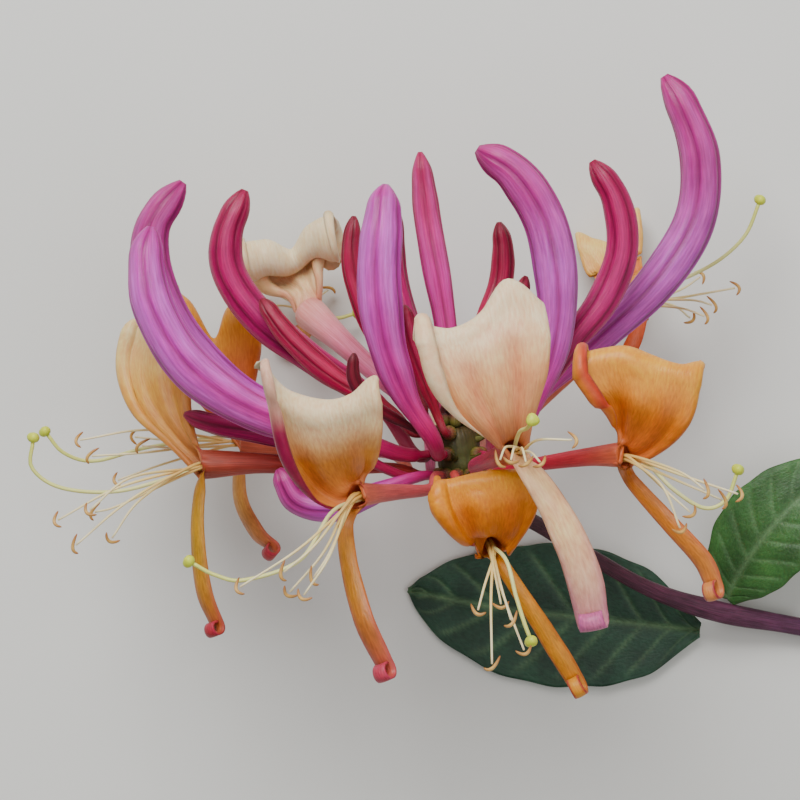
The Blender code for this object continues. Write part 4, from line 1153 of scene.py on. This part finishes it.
def add_upper_lip(surface, name, mouth, ring):
    """The broad upper lip, from the mouth's ring to the end of its roll, with its side margins."""
    flower, colours = FLOWERS[name], FLOWER_COLOURS[name]
    pinch = ROLL_PINCHES.get(name, 0)
    blend = LOW_LIP_BLEND if name == "front_low" else LIP_BLEND
    columns = range(LIP_FIRST, RING - LIP_FIRST + 1)
    first = [ring[j] for j in columns]
    grid = [[first[0]] * MARGIN_COLUMNS + first + [first[-1]] * MARGIN_COLUMNS]
    reach = math.pi - math.tau * LIP_FIRST / RING
    for i in range(1, LIP_ROWS + LIP_ROLL_ROWS + 1):
        share = min(1.0, i / LIP_ROWS)
        rolled = max(0.0, (i - LIP_ROWS) / LIP_ROLL_ROWS)
        line = []
        for angle in map(ring_angle, columns):
            u = angle / reach
            spot = mouth.ring_point(angle, LIP_ONWARD * share)
            spot = spot.lerp(lip_point(flower, mouth, u, i, pinch), smooth(0, blend, share))
            streak = STREAK_STRENGTH * math.exp(-((abs(u) - STREAK_PLACE) / STREAK_WIDTH) ** 2)
            tint = mixed(colours["lip"], share * LIP_FLAT + rolled * (1 - LIP_FLAT))
            tint = tint.lerp(colours["streak"], streak * within(STREAK_STRETCH, share))
            grain = lip_grain(LIP_GRAIN, u, share, rolled)
            line.append(surface.add(spot, tint, grain, mixed(colours["outside"], share)))
        grid.append(with_margins(surface, line, grid[-1], name, share, rolled, mouth.back))
    surface.join(grid)


def add_lower_lip(surface, name, mouth, ring):
    """The narrow lower lip, from the mouth's ring to the end of its curl."""
    flower, colours = FLOWERS[name], FLOWER_COLOURS[name]
    strap = strap_line(flower, mouth)
    columns = [*range(RING - LIP_FIRST + STRAP_GAP, RING), *range(0, LIP_FIRST - STRAP_GAP + 1)]
    reach = math.sin(math.tau * (LIP_FIRST - STRAP_GAP) / RING)
    grid = [[ring[j] for j in columns]]
    for i in range(1, STRAP_ROWS + STRAP_ROLL_ROWS + 1):
        share = min(1.0, i / STRAP_ROWS)
        rolled = max(0.0, (i - STRAP_ROWS) / STRAP_ROLL_ROWS)
        line = []
        for angle in map(ring_angle, columns):
            q = math.sin(angle) / reach
            spot = mouth.ring_point(angle, STRAP_ONWARD * share)
            spot = spot.lerp(strap_point(flower, strap, q, i), smooth(0, STRAP_BLEND, share))
            edge = smooth(*STRAP_EDGE, abs(q)) * share
            tint = mixed(colours["strap"], share * STRAP_FLAT + rolled * (1 - STRAP_FLAT))
            tint = tint.lerp(colours["strap_edge"], STRAP_EDGE_TINT * edge)
            shade = mixed(colours["strap_outside"],
                          share * STRAP_OUTSIDE_FLAT + rolled * (1 - STRAP_OUTSIDE_FLAT))
            shade = shade.lerp(colours["strap_edge"], edge)
            line.append(surface.add(spot, tint, lip_grain(STRAP_GRAIN, q, share, rolled), shade))
        grid.append(line)
    surface.join(grid)


def look_corolla(name, outside, inside):
    """A flower's tube, split at its mouth into the broad rolled upper lip and the narrow lower one."""
    path = spine(FLOWERS[name]["root"], FLOWERS[name]["tube"], TUBE_ROWS)
    mouth = Mouth(FLOWERS[name], path)
    surface = Surface()
    ring = add_corolla_tube(surface, name, path, mouth)
    add_upper_lip(surface, name, mouth, ring)
    add_lower_lip(surface, name, mouth, ring)
    if mouth.hand < 0:
        surface.turn_over()
    made = surface.piece("corolla_" + name, "petal_apricot", outside, inside)
    thicken(made, PETAL_LOOK_THICKNESS, -1)


def anther_line(tip, run, n):
    """The bowed line of the nth anther, across the end of its filament."""
    hook = run.cross(Vector((0, 0, 1)))
    hook = (hook if hook.length > 0.1 else Vector((1, 0, 0))).normalized()
    hook = (hook if hook.y < 0 else -hook) * ANTHER_ACROSS
    hook += run * ANTHER_LEAN * math.sin(n * ANTHER_LEAN_TURN)
    hook += Vector((0, 0, ANTHER_TILT * math.cos(n * ANTHER_TILT_TURN)))
    line = []
    for k in range(2 * ANTHER_STEPS + 1):
        t = k / ANTHER_STEPS - 1
        bow = ANTHER_LIFT - ANTHER_BOW * (t - ANTHER_BOW_MIDDLE) ** 2
        line.append(tip + (hook * t * ANTHER_HALF + run * bow) * MM)
    return line


def look_stamens(name, skin):
    """Five thin filaments out of the throat, each with a crescent anther across its end."""
    throat, way = throat_of(FLOWERS[name])
    stamens = FLOWERS[name]["stamens"]
    surface = Surface()

    def filament_radius(share, angle, out):
        return (FILAMENT_START - FILAMENT_THINS * share) * MM

    def anther_radius(share, angle, out):
        return (ANTHER_END + ANTHER_SWELLS * rounded(share, 0)) * MM

    for n, (middle, end) in enumerate(stamens):
        turn = math.tau * n / len(stamens)
        off = Vector((math.cos(turn), math.sin(turn), STAMEN_FORWARD)) * STAMEN_SPREAD * MM
        starts = [throat - way * depth * MM + off for depth in STAMEN_STARTS]
        tip = at(end)
        path = smooth_line([*starts, at(middle), tip], LINE_STEPS, FILAMENT_ROWS)
        add_tube(surface, path, THREAD_SIDES, filament_radius, graded(FILAMENT_COLOURS), THREAD_GRAIN)
        arc = anther_line(tip, (tip - at(middle)).normalized(), n)
        add_tube(surface, arc, THREAD_SIDES, anther_radius, graded(ANTHER_COLOURS), THREAD_GRAIN)
    surface.piece("stamens_" + name, "filament_ivory", skin)


def look_style(name, skin):
    """The long style, with its round three-lobed stigma."""
    throat, way = throat_of(FLOWERS[name])
    knots = [throat - way * STYLE_START * MM, *(at(p) for p in FLOWERS[name]["style"])]
    path = smooth_line(knots, LINE_STEPS, STYLE_ROWS)
    surface = Surface()
    add_tube(surface, path, STYLE_SIDES, lambda share, angle, out: STYLE_RADIUS * MM, graded(STYLE_COLOURS),
             THREAD_GRAIN)
    tip, run = path[-1], (path[-1] - path[-2]).normalized()
    reach = STIGMA_RADIUS * STIGMA_LENGTH
    knob = [tip + run * (reach * k / STIGMA_STEPS - STIGMA_OVERLAP) * MM for k in range(STIGMA_STEPS + 1)]

    def radius(share, angle, out):
        lobe = 1 + STIGMA_LOBE * math.cos(STIGMA_LOBES * angle) * share
        return STIGMA_RADIUS * MM * rounded(share, STIGMA_END) * lobe

    add_tube(surface, knob, STIGMA_SIDES, radius, lambda share, angle, out: STIGMA_COLOUR, THREAD_GRAIN)
    surface.piece("style_" + name, "style_lime", skin)


def add_ovary(surface, place):
    """The ovary under a bud or a flower."""
    foot, outward = root_of(place)
    steps = (k / OVARY_STEPS - OVARY_BEHIND for k in range(OVARY_STEPS + 1))
    path = [foot + outward * (OVARY_LENGTH * step) * MM for step in steps]
    size = OVARY_RADIUS if place[1] < len(WHORL_LEVELS) else OVARY_RADIUS * TOP_OVARY
    add_tube(surface, path, OVARY_SIDES, lambda share, angle, out: size * MM * rounded(share, OVARY_END),
             graded(OVARY_COLOURS))


def add_bract(surface, n, bottom, top):
    """The nth of the small bracts that point outward from the receptacle and bend up."""
    turn = math.tau * (n + 0.5) / BRACTS
    outward = Vector((math.sin(turn), 0, math.cos(turn)))
    rise = (top - bottom).normalized()
    start = bottom.lerp(top, (n % BRACT_LEVELS) * BRACT_RISE + BRACT_FIRST)
    start += outward * (RECEPTACLE_RADIUS - BRACT_SUNK) * MM
    steps = range(BRACT_STEPS + 1)
    path = [start + (outward * k * BRACT_STEP + rise * BRACT_BEND * k * k) * MM for k in steps]
    add_tube(surface, path, THREAD_SIDES,
             lambda share, angle, out: (BRACT_RADIUS * (1 - share) + BRACT_TIP) * MM,
             lambda share, angle, out: BRACT_COLOUR)


def look_receptacle(skin):
    """The head's short axis, with an ovary under every bud and flower and small bracts between them."""
    bottom, top = at(RECEPTACLE_BOTTOM), at(RECEPTACLE_TOP)
    path = [bottom.lerp(top, k / CORE_STEPS) for k in range(CORE_STEPS + 1)]
    upward = Vector((0, 1, 0))

    def radius(share, angle, out):
        size = RECEPTACLE_RADIUS * MM * rounded(share, CORE_END, CORE_ROUNDING)
        return size * (1 + swelling(CORE_SWELL, out, share, upward))

    surface = Surface()
    add_tube(surface, path, CORE_SIDES, radius, graded(CORE_COLOURS))
    for place in [bud[0] for bud in BUDS.values()] + [flower["root"] for flower in FLOWERS.values()]:
        add_ovary(surface, place)
    for n in range(BRACTS):
        add_bract(surface, n, bottom, top)
    surface.piece("receptacle", "receptacle_green", skin)


def look_stem(skin):
    """The ridged stem, swollen where the leaves join it."""
    path = smooth_line([at(p) for p in STEM], STEM_STEPS, STEM_ROWS)

    def radius(share, angle, out):
        ridge = STEM_RIDGE * math.cos(STEM_RIDGES * angle + share * STEM_TWIST)
        return along(STEM_RADII, share) * MM * (STEM_CORE + ridge + swelling(STEM_SWELL, out, share))

    surface = Surface()
    add_tube(surface, path, STEM_SIDES, radius, graded(STEM_COLOURS), STEM_GRAIN)
    surface.piece("stem", "stem_purple", skin)


def leaf_relief(share, u, half, seed):
    """How far a place on a leaf stands up in mm, and how much of a side vein and of the midrib it is."""
    place = (share * LEAF_VEINS - abs(u) * VEIN_SWEEP) % 1.0
    vein = math.exp(-(min(place, 1 - place) / VEIN_WIDTH) ** 2) * within(VEIN_STRETCH, abs(u))
    rib = math.exp(-(u * half / RIB_WIDTH) ** 2)
    puff = PUFF * (1 - vein) * within(PUFF_STRETCH, abs(u))
    wave = LEAF_WAVE * noise.noise(Vector((share * LEAF_WAVES[0], u * LEAF_WAVES[1], seed))) * abs(u)
    return LEAF_FOLD * half * u * u + puff + wave - RIB_DEPTH * rib, vein, rib


def leaf_tints(colours, share, u, vein, rib):
    """The colours of a leaf's upper side and underside at a place."""
    patch = noise.noise(Vector((share * LEAF_MOTTLE[0], u * LEAF_MOTTLE[1], LEAF_MOTTLE[2])))
    above, below = (min(1.0, side * vein + middle * rib) for side, middle in (VEIN_TINT, VEIN_TINT_UNDER))
    tint = mixed(colours, 0.5 + 0.5 * patch)
    return tint.lerp(LEAF_VEIN_COLOUR, above), LEAF_UNDERSIDE_COLOUR.lerp(LEAF_VEIN_COLOUR, below)


def look_leaf(name, upper, lower):
    """A leaf blade with a sunk midrib and arched side veins, on a short stalk."""
    points, widths, side = LEAVES[name]
    line = [at(p) for p in points]
    across = Vector((side[0], -side[1], side[2])).normalized()
    surface, grid = Surface(), []
    for i in range(LEAF_ROWS + 1):
        share = i / LEAF_ROWS
        centre = along(line, share)
        direction = heading(line, share, LEAF_STEP)
        over = (across - direction * across.dot(direction)).normalized()
        up = direction.cross(over).normalized()
        up = up if up.z > 0 else -up
        half = max(LEAF_LEAST, along(widths, share)) * smooth(*LEAF_END, 1.0 - share) + LEAF_RIM
        row = []
        for j in range(LEAF_COLUMNS + 1):
            u = 2 * j / LEAF_COLUMNS - 1
            rise, vein, rib = leaf_relief(share, u, half, len(name))
            margin = 1 + MARGIN_WAVE * math.sin(share * MARGIN_WAVES + u)
            spot = centre + (over * half * u * margin + up * rise) * MM
            tint, under = leaf_tints(LEAF_COLOURS[name], share, u, vein, rib)
            grain = Vector((u * LEAF_GRAIN[0], share * LEAF_GRAIN[1], 0))
            row.append(surface.add(spot, tint, grain, under))
        grid.append(row)
    surface.join(grid)
    corner, beside, onward = (surface.points[k] for k in (grid[1][0], grid[1][1], grid[2][0]))
    if (beside - corner).cross(onward - corner).z < 0:
        surface.turn_over()
    made = surface.piece(name, "leaf_green", upper, lower)
    thicken(made, LEAF_LOOK_THICKNESS, 0)


def floor():
    """A pale table top."""
    mesh = bpy.data.meshes.new("floor")
    signs = ((-1, -1), (1, -1), (1, 1), (-1, 1))
    mesh.from_pydata([(x * FLOOR_HALF, y * FLOOR_HALF, 0) for x, y in signs], [], [(0, 1, 2, 3)])
    pale = bpy.data.materials.new("pale_table")
    pale.use_nodes = True
    shader = pale.node_tree.nodes["Principled BSDF"]
    shader.inputs["Base Color"].default_value = (*FLOOR_COLOUR, 1)
    shader.inputs["Roughness"].default_value = FLOOR_ROUGHNESS
    mesh.materials.append(pale)
    placed("floor", mesh)


def lighting():
    """Soft light from a window and from overhead, aimed at the flower head, in a pale room."""
    aim = Vector((0, 0, AXIS_HEIGHT))
    for name, (place, size, power) in LIGHTS.items():
        data = bpy.data.lights.new(name, "AREA")
        data.size = size
        data.energy = power
        made = placed(name, data)
        made.location = place
        made.rotation_euler = (aim - Vector(place)).to_track_quat("-Z", "Y").to_euler()
    world = bpy.data.worlds.new("room")
    world.use_nodes = True
    backdrop = world.node_tree.nodes["Background"]
    backdrop.inputs["Color"].default_value = (1, 1, 1, 1)
    backdrop.inputs["Strength"].default_value = ROOM_LIGHT
    bpy.context.scene.world = world


def camera():
    """Looks straight down from the sheet's eye."""
    data = bpy.data.cameras.new("eye")
    data.sensor_width = SENSOR_WIDTH
    data.lens = SENSOR_WIDTH * EYE_HEIGHT / SHEET_WIDTH
    data.clip_start = CAMERA_NEAR
    made = placed("eye", data)
    made.location = at((SHEET_SQUARES / 2, SHEET_SQUARES / 2, EYE_HEIGHT / MM))
    bpy.context.scene.camera = made


def main():
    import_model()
    skin = bud_skin()
    for name in BUDS:
        look_bud(name, skin)
    outside, inside = petal_outside(), petal_inside()
    filament, style = filament_skin(), style_skin()
    for name in FLOWERS:
        look_corolla(name, outside, inside)
        look_stamens(name, filament)
        look_style(name, style)
    look_receptacle(receptacle_skin())
    look_stem(stem_bark())
    upper, lower = leaf_top(), leaf_underside()
    for name in LEAVES:
        look_leaf(name, upper, lower)
    floor()
    lighting()
    camera()


main()
